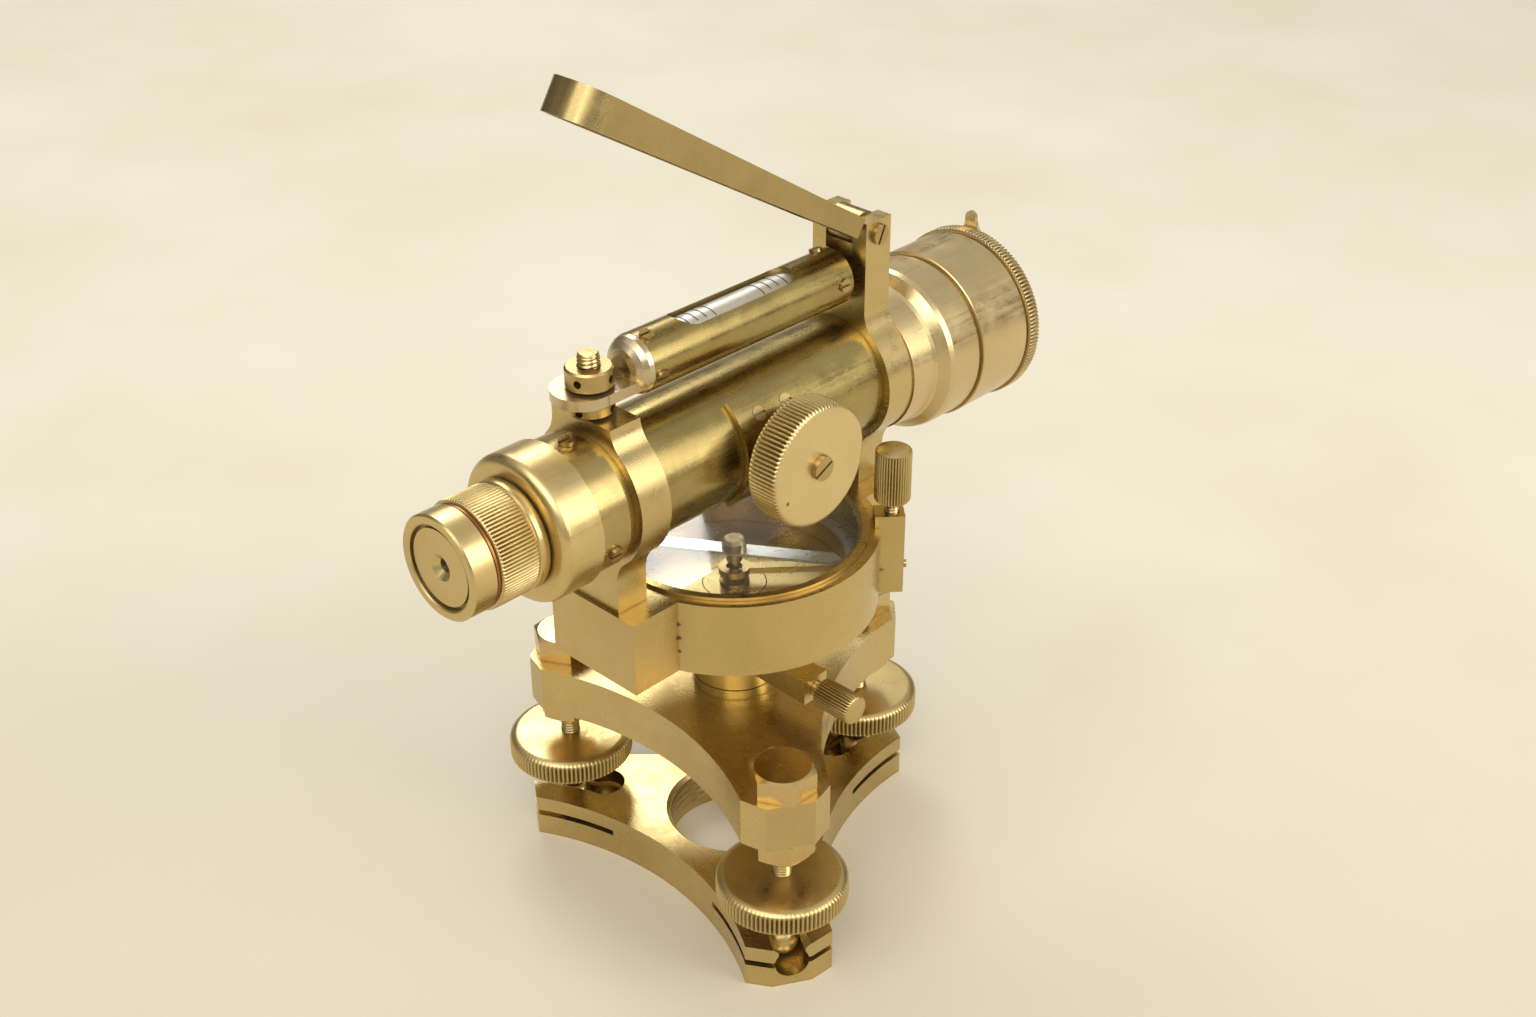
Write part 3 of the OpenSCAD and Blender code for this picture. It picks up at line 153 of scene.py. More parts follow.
def machining(tree, grain):
    """Fine tool marks and broad streaks, round the axis of a turned piece or slanting on others."""
    if grain in GRAINS:
        marks, bands = GRAINS[grain]
        return (noise(tree, millimetres(tree, marks), 1.0, 4.0, 0.65),
                noise(tree, millimetres(tree, bands), 1.0, 3.0, 0.6))
    return (noise(tree, millimetres(tree, (0.35, 5.5, 5.5), (0.2, 0.15, 0.5)), 1.0, 3.0, 0.6),
            noise(tree, millimetres(tree, (4.5, 0.3, 4.5), (0.1, 0.6, 1.1)), 1.0, 3.0, 0.6))


def spotted(tree, base, place, speck, spots):
    """Dark or green spots, each given by its place, radius and colour."""
    for spot, radius, shade in spots:
        offset = vector_value(tree, "DISTANCE", place, spot)
        ragged = ramp(tree, speck, 0.2, 0.8, -radius * 0.5, radius * 0.5)
        near = ramp(tree, plus(tree, offset, ragged), radius * 0.35, radius, 1.0, 0.0)
        base = mix_color(tree, times(tree, near, 0.85), base, list(shade) + [1.0])
    return base


def ringed(tree, base, place, radius, top):
    """A circle engraved about the vertical axis, on what lies lower than top."""
    part = add(tree, "ShaderNodeSeparateXYZ", {0: place})
    flat = add(tree, "ShaderNodeCombineXYZ", {0: part.outputs[0], 1: part.outputs[1]})
    reach = vector_value(tree, "LENGTH", flat.outputs[0])
    off = math_node(tree, "ABSOLUTE", minus(tree, reach, radius))
    line = times(tree, ramp(tree, off, 0.08, 0.2, 1.0, 0.0),
                 math_node(tree, "LESS_THAN", part.outputs[2], top))
    return mix_color(tree, line, base, ENGRAVED)


def brass(name, color, dark, rough, stain_and_shade, bump, grain="cast", tint=0.5, spots=(), ring=None):
    """Worn brass: colour drift, brown painted shade and staining in corners, pits, fine scratches,
    grime in knurls.

    A spot is (place, radius, colour), and the engraved ring is (radius, top)."""
    material, tree = new_material(name)
    place = millimetres(tree)
    drift = noise(tree, place, 0.035, 4.0, 0.6)
    cloud = noise(tree, place, 0.16, 5.0, 0.62, 0.4)
    speck = noise(tree, place, 1.3, 3.0, 0.7)
    base = mix_color(tree, ramp(tree, drift, 0.35, 0.68, 0.0, tint), color, dark)
    warm = [min(1.0, color[0] * 1.03), color[1] * 0.93, color[2] * 0.86, 1.0]
    base = mix_color(tree, ramp(tree, cloud, 0.45, 0.75, 0.0, 0.35), base, warm)
    # Painted shade: ambient occlusion darkens corners and hollows toward brown, together with real
    # staining.
    corner = add(tree, "ShaderNodeAmbientOcclusion", {"Distance": 0.0016}, samples=4, inside=False)
    hollow_shade_and_stain = ramp(tree, corner.outputs["AO"], 0.3, 0.75, 1.0, 0.0)
    hollow_shade_and_stain = times(tree, hollow_shade_and_stain, ramp(tree, speck, 0.3, 0.62, 0.5, 1.0))
    base = mix_color(tree, times(tree, hollow_shade_and_stain, stain_and_shade, clamp=True), base, BROWN)
    tarnish = times(tree, ramp(tree, cloud, 0.6, 0.78), ramp(tree, speck, 0.45, 0.7))
    base = mix_color(tree, times(tree, tarnish, 0.3 * stain_and_shade), base,
                     [dark[0] * 0.62, dark[1] * 0.5, dark[2] * 0.4, 1.0])
    pit = ramp(tree, noise(tree, place, 2.1, 2.0, 0.5), 0.76, 0.79)
    base = mix_color(tree, times(tree, pit, 0.55), base, PIT_BROWN)
    base = spotted(tree, base, place, speck, spots)
    if ring:
        base = ringed(tree, base, place, *ring)
    groove = add(tree, "ShaderNodeAttribute", attribute_name="groove").outputs["Fac"]
    dirt = times(tree, ramp(tree, groove, 0.25, 0.95), ramp(tree, speck, 0.2, 0.6, 0.6, 1.0))
    base = mix_color(tree, times(tree, dirt, 0.8), base, GRIME)
    fine, streak = machining(tree, grain)
    scratch = noise(tree, millimetres(tree, (0.22, 7.0, 7.0), (0.9, 0.5, 0.8)), 1.0, 2.0, 0.5)
    scratch = ramp(tree, scratch, 0.67, 0.72)
    patch = ramp(tree, streak, 0.3, 0.7, -0.04, 0.06)
    wear = ramp(tree, cloud, 0.35, 0.7, -0.03, 0.09)
    roughness = plus(tree, plus(tree, patch, wear), rough)
    roughness = plus(tree, roughness, times(tree, scratch, 0.12))
    roughness = plus(tree, roughness, times(tree, hollow_shade_and_stain, 0.25), clamp=True)
    height = times(tree, fine, 0.4)
    height = plus(tree, height, times(tree, cloud, 0.45))
    height = minus(tree, height, times(tree, scratch, 0.35))
    height = minus(tree, height, times(tree, pit, 0.8))
    relief = add(tree, "ShaderNodeBump", {"Strength": bump, "Distance": 0.00012, "Height": height})
    finish_material(tree, add(tree, "ShaderNodeBsdfPrincipled",
                              {"Base Color": base, "Metallic": 1.0, "Roughness": roughness,
                               "Normal": relief.outputs[0]}))
    return material


def silvered(name, color, rough, marks=None):
    """Dull silvering with fine grain; marks adds engraved lines."""
    material, tree = new_material(name)
    place = millimetres(tree)
    cloud = noise(tree, place, 0.3, 4.0, 0.6)
    fine = noise(tree, place, 6.0, 3.0, 0.6)
    base = mix_color(tree, ramp(tree, cloud, 0.4, 0.7, 0.0, 0.5), color,
                     [color[0] * 0.72, color[1] * 0.69, color[2] * 0.6, 1.0])
    if marks:
        base = mix_color(tree, marks(tree, place), base, [0.03, 0.028, 0.025, 1.0])
    roughness = plus(tree, ramp(tree, cloud, 0.3, 0.7, -0.05, 0.1), rough)
    relief = add(tree, "ShaderNodeBump", {"Strength": 0.12, "Distance": 0.00008, "Height": fine})
    finish_material(tree, add(tree, "ShaderNodeBsdfPrincipled",
                              {"Base Color": base, "Metallic": 0.9, "Roughness": roughness,
                               "Normal": relief.outputs[0]}))
    return material


def dial_marks(tree, place):
    """One line for each two degrees round the vertical axis, longer every ten."""
    outer = 29.4
    part = add(tree, "ShaderNodeSeparateXYZ", {0: place})
    x, y = part.outputs[0], part.outputs[1]
    angle = math_node(tree, "ARCTAN2", y, x)
    flat = math_node(tree, "SQRT", plus(tree, times(tree, x, x), times(tree, y, y)))
    lines = []
    for step, inner, width in ((2.0, 27.6, 0.12), (10.0, 26.6, 0.16)):
        turn = math.radians(step)
        wave = math_node(tree, "PINGPONG", plus(tree, angle, 2 * math.pi), turn / 2)
        line = ramp(tree, times(tree, wave, flat), width * 0.5, width, 1.0, 0.0)
        line = times(tree, line, math_node(tree, "GREATER_THAN", flat, inner))
        lines.append(times(tree, line, math_node(tree, "LESS_THAN", flat, outer)))
    return math_node(tree, "MAXIMUM", lines[0], lines[1])


def glass(name, color, rough, haze):
    """Clear glass with a smeared shine on its front faces and a thin film of dust."""
    material, tree = new_material(name)
    place = millimetres(tree)
    smear = noise(tree, place, 0.12, 4.0, 0.6)
    dust = ramp(tree, noise(tree, place, 2.6, 2.0, 0.5), 0.7, 0.78)
    clear = add(tree, "ShaderNodeBsdfTransparent", {"Color": color})
    gloss = add(tree, "ShaderNodeBsdfGlossy",
                {"Color": [0.95, 0.96, 0.98, 1.0],
                 "Roughness": ramp(tree, smear, 0.4, 0.7, rough, rough + 0.05)})
    film = add(tree, "ShaderNodeBsdfDiffuse", {"Color": [0.75, 0.74, 0.7, 1.0]})
    sight = add(tree, "ShaderNodeFresnel", {"IOR": 1.5}).outputs[0]
    backfacing = add(tree, "ShaderNodeNewGeometry").outputs["Backfacing"]
    shine = times(tree, plus(tree, sight, 0.02), minus(tree, 1.0, backfacing), clamp=True)
    body = add(tree, "ShaderNodeMixShader", {0: shine, 1: clear.outputs[0], 2: gloss.outputs[0]})
    veil = plus(tree, ramp(tree, smear, 0.35, 0.75, haze * 0.5, haze), times(tree, dust, 0.12),
                clamp=True)
    finish_material(tree, add(tree, "ShaderNodeMixShader",
                              {0: veil, 1: body.outputs[0], 2: film.outputs[0]}))
    return material


PALE = [0.62, 0.48, 0.22, 1.0]
DEEP = [0.42, 0.32, 0.13, 1.0]
SEAM = ((-30.1, -13.1, 85.5), (-30.1, -13.1, 82.0), (-30.1, -13.1, 78.5))
VERDIGRIS = ((-29.3, -38.0, 26.0), (-27.6, -37.4, 26.0))
KNOB_PIT = (-10.6, -26.5, 112.3)
# The stain setting of each brass scales its painted shade in corners as well as its tarnish.
CAST = brass("brass_cast", PALE, DEEP, rough=0.27, grain="cast", stain_and_shade=0.5, tint=0.5, bump=0.07)
FRAME = brass("brass_frame", [0.47, 0.36, 0.16, 1.0], [0.30, 0.21, 0.08, 1.0], rough=0.25,
              grain="cast", stain_and_shade=0.9, tint=0.6, bump=0.07)
HEX = brass("brass_hexagon", [0.66, 0.49, 0.23, 1.0], [0.48, 0.34, 0.15, 1.0], rough=0.2,
            grain="cast", stain_and_shade=0.5, tint=0.5, bump=0.06)
BOX = brass("brass_box", [0.61, 0.46, 0.20, 1.0], DEEP, rough=0.28, grain="turned_z", stain_and_shade=0.5,
            tint=0.4, bump=0.07, spots=((SEAM[0], 0.7, (0.07, 0.045, 0.02)),
                                        (SEAM[1], 0.8, (0.07, 0.045, 0.02)),
                                        (SEAM[2], 0.6, (0.1, 0.06, 0.03))), ring=(7.3, 77.0))
TUBE = brass("brass_tube", [0.43, 0.335, 0.13, 1.0], [0.27, 0.195, 0.065, 1.0], rough=0.24,
             grain="turned_x", stain_and_shade=0.7, tint=0.7, bump=0.05)
PINK = brass("brass_barrel", [0.68, 0.54, 0.29, 1.0], [0.54, 0.41, 0.19, 1.0], rough=0.29,
             grain="turned_x", stain_and_shade=0.5, tint=0.5, bump=0.05)
# Painted shade and tarnish: the reticle ring is darker than the eyepiece barrel, as if it lay in
# shadow beside the barrel's edge.
RING_TARNISH_AND_SHADE = brass("brass_reticle_ring_tarnish_and_shade", [0.50, 0.385, 0.16, 1.0], [0.36, 0.26, 0.10, 1.0], rough=0.26,
             grain="turned_x", stain_and_shade=0.7, tint=0.6, bump=0.06)
EYE = brass("brass_eyepiece", [0.67, 0.52, 0.24, 1.0], DEEP, rough=0.30, grain="turned_x",
            stain_and_shade=0.5, tint=0.35, bump=0.05)
TURNED = brass("brass_turned", [0.62, 0.48, 0.215, 1.0], DEEP, rough=0.29, grain="turned_z",
               stain_and_shade=0.4, tint=0.4, bump=0.06)
KNOB = brass("brass_knob", [0.74, 0.59, 0.30, 1.0], DEEP, rough=0.34, grain="cast", stain_and_shade=0.5,
             tint=0.3, bump=0.08, spots=((KNOB_PIT, 0.6, (0.07, 0.045, 0.02)),))
SCREW = brass("brass_screw", [0.54, 0.40, 0.18, 1.0], [0.34, 0.23, 0.09, 1.0], rough=0.28,
              grain="cast", stain_and_shade=0.9, tint=0.6, bump=0.08)
DISC = brass("brass_disc", [0.64, 0.50, 0.23, 1.0], DEEP, rough=0.31, grain="turned_z",
             stain_and_shade=0.5, tint=0.45, bump=0.06, spots=((VERDIGRIS[0], 1.1, (0.25, 0.34, 0.27)),
                                                     (VERDIGRIS[1], 0.8, (0.3, 0.34, 0.24))))
RED = brass("brass_tarnished", [0.40, 0.17, 0.06, 1.0], [0.2, 0.08, 0.03, 1.0], rough=0.35,
            grain="turned_x", stain_and_shade=1.0, tint=1.0, bump=0.1)
SILVER = brass("end_cap", [0.62, 0.52, 0.33, 1.0], [0.52, 0.43, 0.27, 1.0], rough=0.27,
               grain="cast", stain_and_shade=0.4, tint=0.6, bump=0.05)
DIAL = silvered("silvered_dial", [0.75, 0.74, 0.71, 1.0], 0.35, dial_marks)
STEEL = silvered("needle_steel", [0.80, 0.80, 0.80, 1.0], 0.3)
POST = brass("brass_post", [0.46, 0.36, 0.17, 1.0], [0.3, 0.22, 0.1, 1.0], rough=0.35, stain_and_shade=0.6,
             bump=0.06)
BLACK = brass("blackened", [0.09, 0.075, 0.06, 1.0], [0.05, 0.04, 0.03, 1.0], rough=0.45,
              stain_and_shade=1.0, bump=0.1)
MIRROR = silvered("mirror_silver", [0.86, 0.87, 0.88, 1.0], 0.03)
LENS = glass("lens_glass", [0.93, 0.95, 0.97, 1.0], 0.02, 0.02)
PANE = glass("compass_glass", [0.97, 0.98, 0.98, 1.0], 0.02, 0.025)
VIAL = silvered("vial_window", [0.86, 0.85, 0.79, 1.0], 0.32)

LOOKS = {
    "base_plate": CAST, "upper_plate": CAST, "foot_bushes": HEX, "bush_nuts": HEX,
    "axis_socket": TURNED, "axis_spindle": TURNED, "axis_nut": TURNED, "clamp_collar": TURNED,
    "clamp_screw": TURNED, "compass_box": BOX, "dial_ring": DIAL, "pivot_post": POST,
    "needle": STEEL, "needle_cap": PINK, "compass_glass": PANE, "bezel_ring": BOX,
    "needle_lifter": TURNED, "arrest_pins": SCREW, "arrest_screw": TURNED,
    "near_upright": CAST, "far_upright": CAST, "main_tube": TUBE,
    "objective_barrel": PINK, "objective_cell": PINK, "objective_lens": LENS,
    "objective_rim": PINK, "shutter": PINK, "shutter_screw": SCREW,
    "focus_cell": BLACK, "focus_lens": LENS, "pinion_shaft": SCREW, "saddle": TUBE,
    "saddle_screws": SCREW, "focus_knob": KNOB, "knob_screw": SCREW,
    "diaphragm_ring": RING_TARNISH_AND_SHADE, "reticle": BLACK, "diaphragm_screws": SCREW,
    "eyepiece_barrel": EYE, "eyepiece_tube": EYE, "eye_lenses": LENS, "eyepiece_ring": EYE,
    "level_tube": TUBE, "vial": VIAL, "level_plug": SILVER, "level_screws": SCREW,
    "adjusting_stud": SCREW, "capstan_nuts": SCREW,
    "mirror_frame": FRAME, "mirror_glass": MIRROR, "mirror_screw": SCREW,
}
for letter in "abc":
    LOOKS["foot_ball_" + letter] = TURNED
    LOOKS["foot_spindle_" + letter] = TURNED
    LOOKS["foot_disc_" + letter] = DISC

# Widths of the softened edges

EDGES = {
    "base_plate": 0.25, "upper_plate": 0.25, "foot_bushes": 0.15, "bush_nuts": 0.12,
    "axis_socket": 0.15, "clamp_collar": 0.2, "compass_box": 0.2, "bezel_ring": 0.12,
    "needle": 0.08, "near_upright": 0.2, "far_upright": 0.2, "main_tube": 0.1,
    "shutter": 0.12, "shutter_screw": 0.1, "saddle": 0.12,
    "saddle_screws": 0.06, "knob_screw": 0.15, "diaphragm_ring": 0.12,
    "diaphragm_screws": 0.12, "eyepiece_barrel": 0.45, "level_tube": 0.08,
    "level_plug": 0.15, "level_screws": 0.08, "capstan_nuts": 0.1,
    "mirror_frame": 0.25, "mirror_glass": 0.1, "mirror_screw": 0.12,
}
EDGE_ANGLE = math.radians(38)
SHARP_ANGLE = math.radians(40)
KNURL_STEPS = 8
KNURL_POWER = 1.3


def set_material(obj, material):
    if obj.material_slots:
        for place in obj.material_slots:
            place.material = material
    else:
        obj.data.materials.append(material)


def soften(obj, width):
    edge = obj.modifiers.new("edge", "BEVEL")
    edge.width = width * MM
    edge.segments = 2
    edge.limit_method = "ANGLE"
    edge.angle_limit = EDGE_ANGLE
    edge.harden_normals = False
    edge.use_clamp_overlap = True


for name, obj in NODES.items():
    set_material(obj, LOOKS[name])
    if name in EDGES:
        soften(obj, EDGES[name])


# Geometry helpers

def mesh_piece(name, verts, faces, material, body, replaces=(), matrix=None, groove=()):
    """A smooth piece that rides with a body. Groove says how deep each vertex is in a knurl."""
    mesh = bpy.data.meshes.new(name)
    mesh.from_pydata([tuple(c * MM for c in v) for v in verts], [], faces)
    depth = mesh.attributes.new("groove", "FLOAT", "POINT")
    depth.data.foreach_set("value", list(groove) + [0.0] * (len(verts) - len(groove)))
    if matrix is not None:
        mesh.transform(matrix)
    mesh.update()
    mesh.polygons.foreach_set("use_smooth", [True] * len(mesh.polygons))
    mesh.set_sharp_from_angle(angle=SHARP_ANGLE)
    mesh.materials.append(material)
    obj = bpy.data.objects.new(name, mesh)
    SCENE.collection.objects.link(obj)
    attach(obj, body)
    if replaces:
        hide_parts(*replaces)


def frame_matrix(origin, axis):
    """Takes +Z to the axis and the origin to the place, in metres."""
    turn = Vector(UP).rotation_difference(Vector(axis)).to_matrix().to_4x4()
    return Matrix.Translation(Vector(origin) * MM) @ turn


def on_circle(radius, degrees):
    angle = math.radians(degrees)
    return (radius * math.cos(angle), radius * math.sin(angle), 0)


def circle(radius, height, count):
    angles = [2 * math.pi * i / count for i in range(count)]
    return [(radius * math.cos(a), radius * math.sin(a), height) for a in angles]


def joined(*pieces):
    """Vertices and faces of several pieces in one."""
    verts = []
    faces = []
    for more_verts, more_faces in pieces:
        base = len(verts)
        verts = verts + more_verts
        faces = faces + [tuple(i + base for i in face) for face in more_faces]
    return verts, faces


def lathe(profile, segments=0, teeth=0, depth=0.0):
    """Vertices, faces and groove depths of a turned shape with a closed profile.

    It takes either segments or teeth. A profile point is (radius, height, share of depth)."""
    count = teeth * KNURL_STEPS if teeth else segments
    verts = []
    faces = []
    groove = []
    for radius, height, knurled in profile:
        for i in range(count):
            cut = 0.0
            if knurled and teeth:
                turn = 2 * math.pi * (i % KNURL_STEPS) / KNURL_STEPS
                cut = knurled * (0.5 - 0.5 * math.cos(turn)) ** KNURL_POWER
            r = radius - depth * cut
            a = 2 * math.pi * i / count
            verts.append((r * math.cos(a), r * math.sin(a), height))
            groove.append(cut)
    rings = len(profile)
    for j in range(rings):
        k = (j + 1) % rings
        for i in range(count):
            n = (i + 1) % count
            faces.append((j * count + i, j * count + n, k * count + n, k * count + i))
    return verts, faces, groove


def turned(profile, segments):
    """Vertices and faces of a turned shape without knurl."""
    return lathe([(radius, height, 0) for radius, height in profile], segments=segments)[:2]


def thread(start, end, outer, depth, pitch, segments, inward=False):
    """Vertices, faces and number of rows of a thread's skin between two heights."""
    rows_per_turn = 6
    runout = pitch * 0.4
    rows = max(2, int((end - start) / pitch * rows_per_turn)) + 1
    verts = []
    faces = []
    for j in range(rows):
        z = start + (end - start) * j / (rows - 1)
        fade = min(1.0, (z - start) / runout, (end - z) / runout)
        for i in range(segments):
            phase = (z / pitch - i / segments) % 1.0
            wave = abs(2 * phase - 1)
            cut = depth * (1 - wave * max(0.0, fade))
            r = outer + cut if inward else outer - cut
            a = 2 * math.pi * i / segments
            verts.append((r * math.cos(a), r * math.sin(a), z))
    for j in range(rows - 1):
        for i in range(segments):
            n = (i + 1) % segments
            low = j * segments
            high = low + segments
            faces.append((low + i, low + n, high + n, high + i))
    return verts, faces, rows


def capped_thread(start, end, outer, depth, pitch, segments=32):
    """Vertices and faces of a thread with flat ends."""
    verts, faces, rows = thread(start, end, outer, depth, pitch, segments)
    faces.append(tuple(range(segments))[::-1])
    faces.append(tuple(range((rows - 1) * segments, rows * segments)))
    return verts, faces


def knurled(name, profile, material, body, replaced, place, teeth, depth, slot="brass_knurled"):
    """A turned piece with a knurl, in place of a CAD node."""
    verts, faces, groove = lathe(profile, teeth=teeth, depth=depth)
    mesh_piece(name, verts, faces, material, body, replaces=(replaced,), matrix=place,
               groove=groove)


# Foot discs and screws

DISC_PROFILE = [(2.3, 20.0, 0), (13.4, 20.0, 0), (14.5, 20.15, 0), (14.95, 20.5, 0.7),
                (14.99, 20.8, 1), (14.99, 22.6, 1), (14.99, 24.4, 1), (14.95, 24.7, 0.7),
                (14.6, 25.2, 0), (13.9, 25.75, 0), (13.2, 25.98, 0), (12.9, 26.0, 0),
                (7.0, 26.0, 0), (2.3, 26.0, 0)]
NECK_PROFILE = [(NEAR_AXIS, 10.7), (1.2, 10.5), (2.3, 9.98), (2.6, 9.8), (2.6, 19.7),
                (2.45, 19.96), (NEAR_AXIS, 19.96)]
for letter, foot_angle in zip("abc", FOOT_ANGLES):
    foot = frame_matrix(on_circle(FOOT_CIRCLE, foot_angle), UP)
    knurled("foot_disc_knurled_" + letter, DISC_PROFILE, DISC, "disc_" + letter,
            "foot_disc_" + letter, foot, teeth=88, depth=0.5)
    spindle = capped_thread(start=20.02, end=49.95, outer=2.25, depth=0.3, pitch=0.75)
    verts, faces = joined(spindle, turned(NECK_PROFILE, 48))
    mesh_piece("foot_thread_" + letter, verts, faces, TURNED, "spindle_" + letter,
               replaces=("foot_spindle_" + letter,), matrix=foot)

# Focusing knob, clamp screw and arrest screw

KNOB_PROFILE = [(1.55, 18.6, 0), (12.9, 18.6, 0), (13.7, 18.75, 0), (13.88, 19.1, 0.6),
                (13.9, 19.5, 1), (13.9, 22.5, 1), (13.9, 25.5, 1), (13.85, 25.85, 0.6),
                (13.45, 26.25, 0), (12.9, 26.47, 0), (12.4, 26.5, 0), (6.0, 26.5, 0),
                (1.55, 26.5, 0)]
knurled("focus_knob_knurled", KNOB_PROFILE, KNOB, "focus_knob", "focus_knob",
        frame_matrix((KNOB_X, 0, TELESCOPE_Z), (0, -1, 0)), teeth=88, depth=0.55)

CLAMP_PROFILE = [(NEAR_AXIS, 7.35, 0), (1.7, 7.35, 0), (1.75, 7.5, 0), (1.75, 28.1, 0),
                 (2.9, 28.1, 0), (3.3, 28.35, 0.5), (3.5, 28.8, 1), (3.5, 33.0, 1),
                 (3.5, 37.7, 1), (3.35, 38.15, 0.4), (3.0, 38.4, 0), (NEAR_AXIS, 38.4, 0)]
knurled("clamp_screw_knurled", CLAMP_PROFILE, TURNED, "clamp", "clamp_screw",
        frame_matrix((0, 0, CLAMP_Z), on_circle(1, CLAMP_ANGLE)), teeth=30, depth=0.3)

ARREST_PROFILE = [(1.2, 96.95, 0), (3.6, 97.0, 0), (4.0, 97.25, 0.4), (4.15, 97.7, 1),
                  (4.15, 103.0, 1), (4.15, 109.2, 1), (4.0, 109.6, 0.4), (3.4, 109.95, 0),
                  (2.2, 110.15, 0), (NEAR_AXIS, 110.2, 0), (NEAR_AXIS, 96.95, 0)]
ARREST_TIP = [(NEAR_AXIS, 80.95), (1.0, 80.95), (1.0, 84.4), (NEAR_AXIS, 84.4)]
verts, faces, groove = lathe(ARREST_PROFILE, teeth=38, depth=0.28)
shank = capped_thread(start=84.4, end=97.0, outer=1.7, depth=0.25, pitch=0.7)
verts, faces = joined((verts, faces), shank, turned(ARREST_TIP, 32))
mesh_piece("arrest_screw_knurled", verts, faces, TURNED, "arrest", replaces=("arrest_screw",),
           matrix=frame_matrix(on_circle(ARREST_CIRCLE, ARREST_ANGLE), UP),
           groove=groove)

# Eyepiece ring with a smooth flange, and the objective's front rim

RING_PROFILE = [(9.05, 0, 0), (11.1, 0, 0), (11.6, 0.2, 0), (11.78, 0.5, 0.5), (11.8, 0.8, 1),
                (11.8, 4.8, 1), (11.8, 8.8, 1), (11.7, 9.1, 0.5), (11.45, 9.3, 0),
                (11.4, 9.6, 0), (11.75, 9.9, 0), (11.8, 10.6, 0), (11.8, 11.7, 0),
                (11.55, 12.0, 0), (9.05, 12.0, 0)]
knurled("eyepiece_ring_knurled", RING_PROFILE, EYE, "eyepiece_ring", "eyepiece_ring",
        frame_matrix((EYE_RING_X, 0, TELESCOPE_Z), FORWARD), teeth=92, depth=0.38)

RIM_PROFILE = [(15.6, 76.7, 0), (17.0, 76.7, 0), (17.0, 78.3, 0), (19.6, 78.3, 0),
               (19.6, 78.9, 0), (20.6, 78.9, 0), (20.9, 79.05, 0.4), (21.0, 79.3, 1),
               (21.0, 80.6, 1), (21.0, 81.9, 1), (20.9, 82.15, 0.4), (20.6, 82.3, 0),
               (18.0, 82.3, 0), (15.6, 82.3, 0)]
telescope = frame_matrix((0, 0, TELESCOPE_Z), FORWARD)
knurled("objective_rim_knurled", RIM_PROFILE, PINK, "head", "objective_rim", telescope,
        teeth=140, depth=0.36, slot="brass_barrel")

# Adjusting stud, and the ridges of the thread in the base plate

STUD_TIP = [(NEAR_AXIS, 147.5), (2.2, 147.5), (2.15, 147.75), (1.9, 147.98), (NEAR_AXIS, 148.0)]
stud = capped_thread(start=131.2, end=147.7, outer=2.4, depth=0.34, pitch=0.9)
verts, faces = joined(stud, turned(STUD_TIP, 32))
mesh_piece("adjusting_stud_thread", verts, faces, SCREW, "head", replaces=("adjusting_stud",),
           matrix=frame_matrix(STUD_PLACE, UP))

THREAD_START, THREAD_END = 0.4, 10.1
THREAD_SEGMENTS = 128
THREAD_BACK = 16.38
verts, faces, rows = thread(THREAD_START, THREAD_END, outer=15.95, depth=0.42, pitch=2.0,
                            segments=THREAD_SEGMENTS, inward=True)
count = len(verts)
verts = verts + circle(THREAD_BACK, THREAD_START, THREAD_SEGMENTS)
verts = verts + circle(THREAD_BACK, THREAD_END, THREAD_SEGMENTS)
last_row = (rows - 1) * THREAD_SEGMENTS
far = count + THREAD_SEGMENTS
for i in range(THREAD_SEGMENTS):
    n = (i + 1) % THREAD_SEGMENTS
    faces.append((i, n, count + n, count + i))
    faces.append((last_row + i, last_row + n, far + n, far + i))
    faces.append((count + i, count + n, far + n, far + i))
mesh_piece("tripod_thread_ridges", verts, faces, CAST, "base")

# Red-brown tarnish in the groove behind the eyepiece cap

GROOVE_PROFILE = [(9.02, -74.95), (10.95, -74.95), (11.15, -74.8), (11.15, -74.3),
                  (10.95, -74.15), (9.02, -74.15)]
verts, faces = turned(GROOVE_PROFILE, 96)
mesh_piece("eyepiece_groove", verts, faces, RED, "eyepiece",
           matrix=telescope)

# Division lines on the window of the level, longer at the ends of each group

LINE_COUNT = 4
LINE_START = 7.2
LINE_SPACING = 2.4
LINE_LONG = math.radians(32)
LINE_SHORT = math.radians(26)
LINE_STEPS = 10
LINE_SECTION = ((-0.11, 5.36), (0.11, 5.36), (0.11, 5.43), (-0.11, 5.43))
for side in (-1, 1):
    for i in range(LINE_COUNT):
        x = side * (LINE_START + LINE_SPACING * i)
        verts = []
        faces = []
        half = LINE_LONG if i in (0, LINE_COUNT - 1) else LINE_SHORT
        for j in range(LINE_STEPS + 1):
            a = math.pi / 2 - half + 2 * half * j / LINE_STEPS
            for dx, r in LINE_SECTION:
                verts.append((x + dx, r * math.cos(a), LEVEL_Z + r * math.sin(a)))
        for j in range(LINE_STEPS):
            for k in range(4):
                m = (k + 1) % 4
                faces.append((j * 4 + k, j * 4 + m, j * 4 + 4 + m, j * 4 + 4 + k))
        end = LINE_STEPS * 4
        faces.append((0, 1, 2, 3))
        faces.append((end + 3, end + 2, end + 1, end))
        mesh_piece("vial_line_%d_%d" % (side + 1, i), verts, faces, BLACK, "level")

# Camera fitted to the photograph; focal length, size and centre of the picture are in pixels

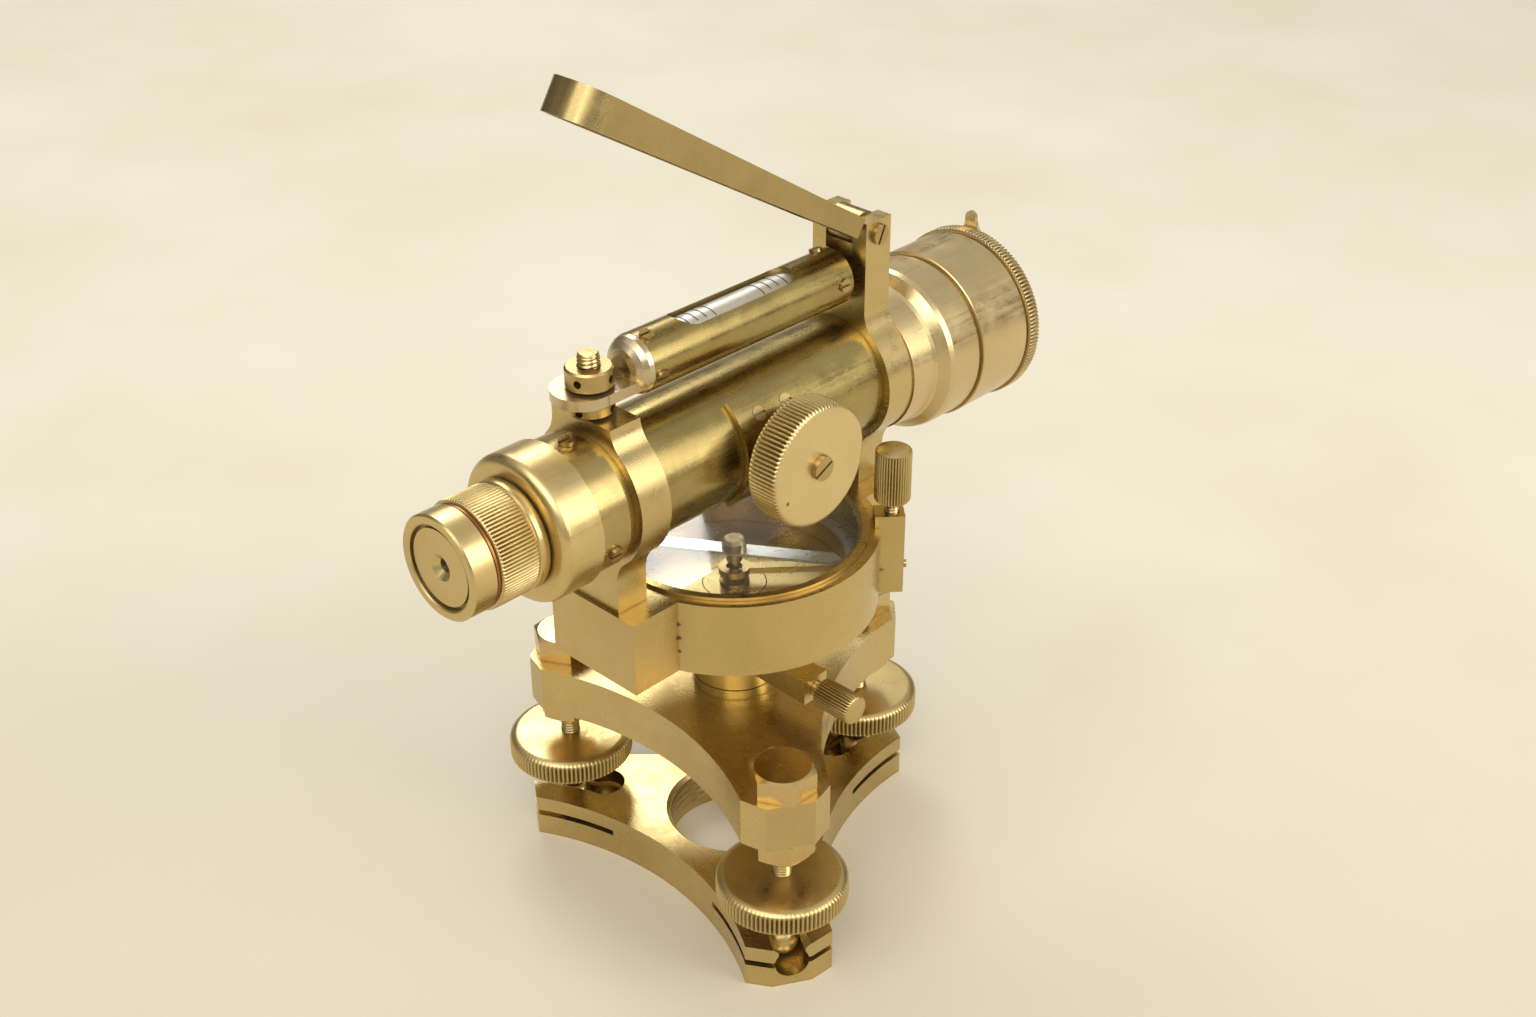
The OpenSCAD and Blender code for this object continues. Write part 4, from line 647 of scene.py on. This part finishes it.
TARGET = Vector((9.05, -1.71, 91.98))
AZIMUTH = math.radians(-46.18)
ELEVATION = math.radians(30.95)
ROLL = math.radians(-0.06)
DISTANCE = 444.35
FOCAL = 1961.99
WIDTH, HEIGHT = 1536.0, 1017.0
CENTRE_X, CENTRE_Y = 767.3, 510.4
SENSOR = 36.0
back = Vector((math.sin(AZIMUTH) * math.cos(ELEVATION), -math.cos(AZIMUTH) * math.cos(ELEVATION),
               math.sin(ELEVATION)))
right = Vector((math.cos(AZIMUTH), math.sin(AZIMUTH), 0))
up = back.cross(right)
rotation = Matrix((right, up, back)).transposed() @ Matrix.Rotation(ROLL, 3, "Z")
camera_data = bpy.data.cameras.new("camera")
camera = bpy.data.objects.new("camera", camera_data)
camera.matrix_world = Matrix.Translation((TARGET + back * DISTANCE) * MM) @ rotation.to_4x4()
camera_data.sensor_width = SENSOR
camera_data.sensor_fit = "HORIZONTAL"
camera_data.lens = SENSOR * FOCAL / WIDTH
camera_data.shift_x = -(CENTRE_X - WIDTH / 2) / WIDTH
camera_data.shift_y = (CENTRE_Y - HEIGHT / 2) / WIDTH
camera_data.clip_start = 0.01
SCENE.collection.objects.link(camera)
SCENE.camera = camera

# Floor, with painted shade that darkens it toward the camera; its half side is in metres

FLOOR_HALF = 3.0
floor_material, tree = new_material("floor_paper")
place = millimetres(tree)
tone = noise(tree, place, 0.006, 3.0, 0.6)
paper = mix_color(tree, ramp(tree, tone, 0.35, 0.7), [0.72, 0.68, 0.57, 1.0],
                  [0.67, 0.615, 0.49, 1.0])
# Painted shade: the paper is mixed toward a darker tone toward the camera.
near = vector_value(tree, "DOT_PRODUCT", place, (-0.72, -0.69, 0.0))
paper = mix_color(tree, ramp(tree, near, -140.0, 130.0), paper, [0.56, 0.505, 0.395, 1.0])
grain = noise(tree, place, 0.9, 4.0, 0.6)
relief = add(tree, "ShaderNodeBump", {"Strength": 0.08, "Distance": 0.0002, "Height": grain})
finish_material(tree, add(tree, "ShaderNodeBsdfPrincipled",
                          {"Base Color": paper, "Roughness": 0.75, "Normal": relief.outputs[0]}))
floor_mesh = bpy.data.meshes.new("floor")
floor_mesh.from_pydata([(-FLOOR_HALF, -FLOOR_HALF, 0), (FLOOR_HALF, -FLOOR_HALF, 0),
                        (FLOOR_HALF, FLOOR_HALF, 0), (-FLOOR_HALF, FLOOR_HALF, 0)],
                       [], [(0, 1, 2, 3)])
floor_mesh.materials.append(floor_material)
floor = bpy.data.objects.new("floor", floor_mesh)
SCENE.collection.objects.link(floor)

# Lights: name, place and sides in metres, watts and colour

LIGHT_AIM = Vector((0, 0, 0.1))
LIGHTS = (
    ("key", (-0.9, -0.1, 1.3), (1.1, 1.1), 9.2, (1.0, 0.98, 0.93)),
    ("front", (-0.75, -0.8, 1.2), (1.0, 0.8), 8.0, (1.0, 0.98, 0.94)),
    ("fill", (0.5, -1.3, 0.8), (1.0, 1.0), 13.0, (1.0, 0.98, 0.93)),
    ("rim", (0.6, 1.0, 1.1), (0.6, 0.6), 7.0, (1.0, 0.99, 0.96)),
)
for name, position, sides, watts, color in LIGHTS:
    data = bpy.data.lights.new(name, "AREA")
    data.shape = "RECTANGLE"
    data.size, data.size_y = sides
    data.energy = watts
    data.color = color
    lamp = bpy.data.objects.new(name, data)
    lamp.rotation_euler = (LIGHT_AIM - Vector(position)).to_track_quat("-Z", "Y").to_euler()
    lamp.location = position
    SCENE.collection.objects.link(lamp)

# Surroundings: bright overhead, darker behind, with soft dark patches for the brass to reflect

world = bpy.data.worlds.new("room")
world.use_nodes = True
tree = world.node_tree
tree.nodes.clear()
place = add(tree, "ShaderNodeTexCoord").outputs["Generated"]
part = add(tree, "ShaderNodeSeparateXYZ", {0: place})
height = ramp(tree, part.outputs[2], -0.1, 0.9)
patches = noise(tree, place, 1.7, 2.0, 0.5)
low = mix_color(tree, ramp(tree, part.outputs[1], -0.6, 0.5), [0.52, 0.48, 0.39, 1.0],
                [0.17, 0.14, 0.10, 1.0])
room = mix_color(tree, height, low, [1.0, 0.97, 0.91, 1.0])
room = mix_color(tree, ramp(tree, patches, 0.45, 0.60, 0.0, 0.75), room, [0.07, 0.05, 0.03, 1.0])
light = add(tree, "ShaderNodeBackground", {"Color": room, "Strength": 0.75})
out = add(tree, "ShaderNodeOutputWorld")
tree.links.new(light.outputs[0], out.inputs[0])
SCENE.world = world
SCENE.view_settings.view_transform = "Standard"
SCENE.view_settings.exposure = 0.0
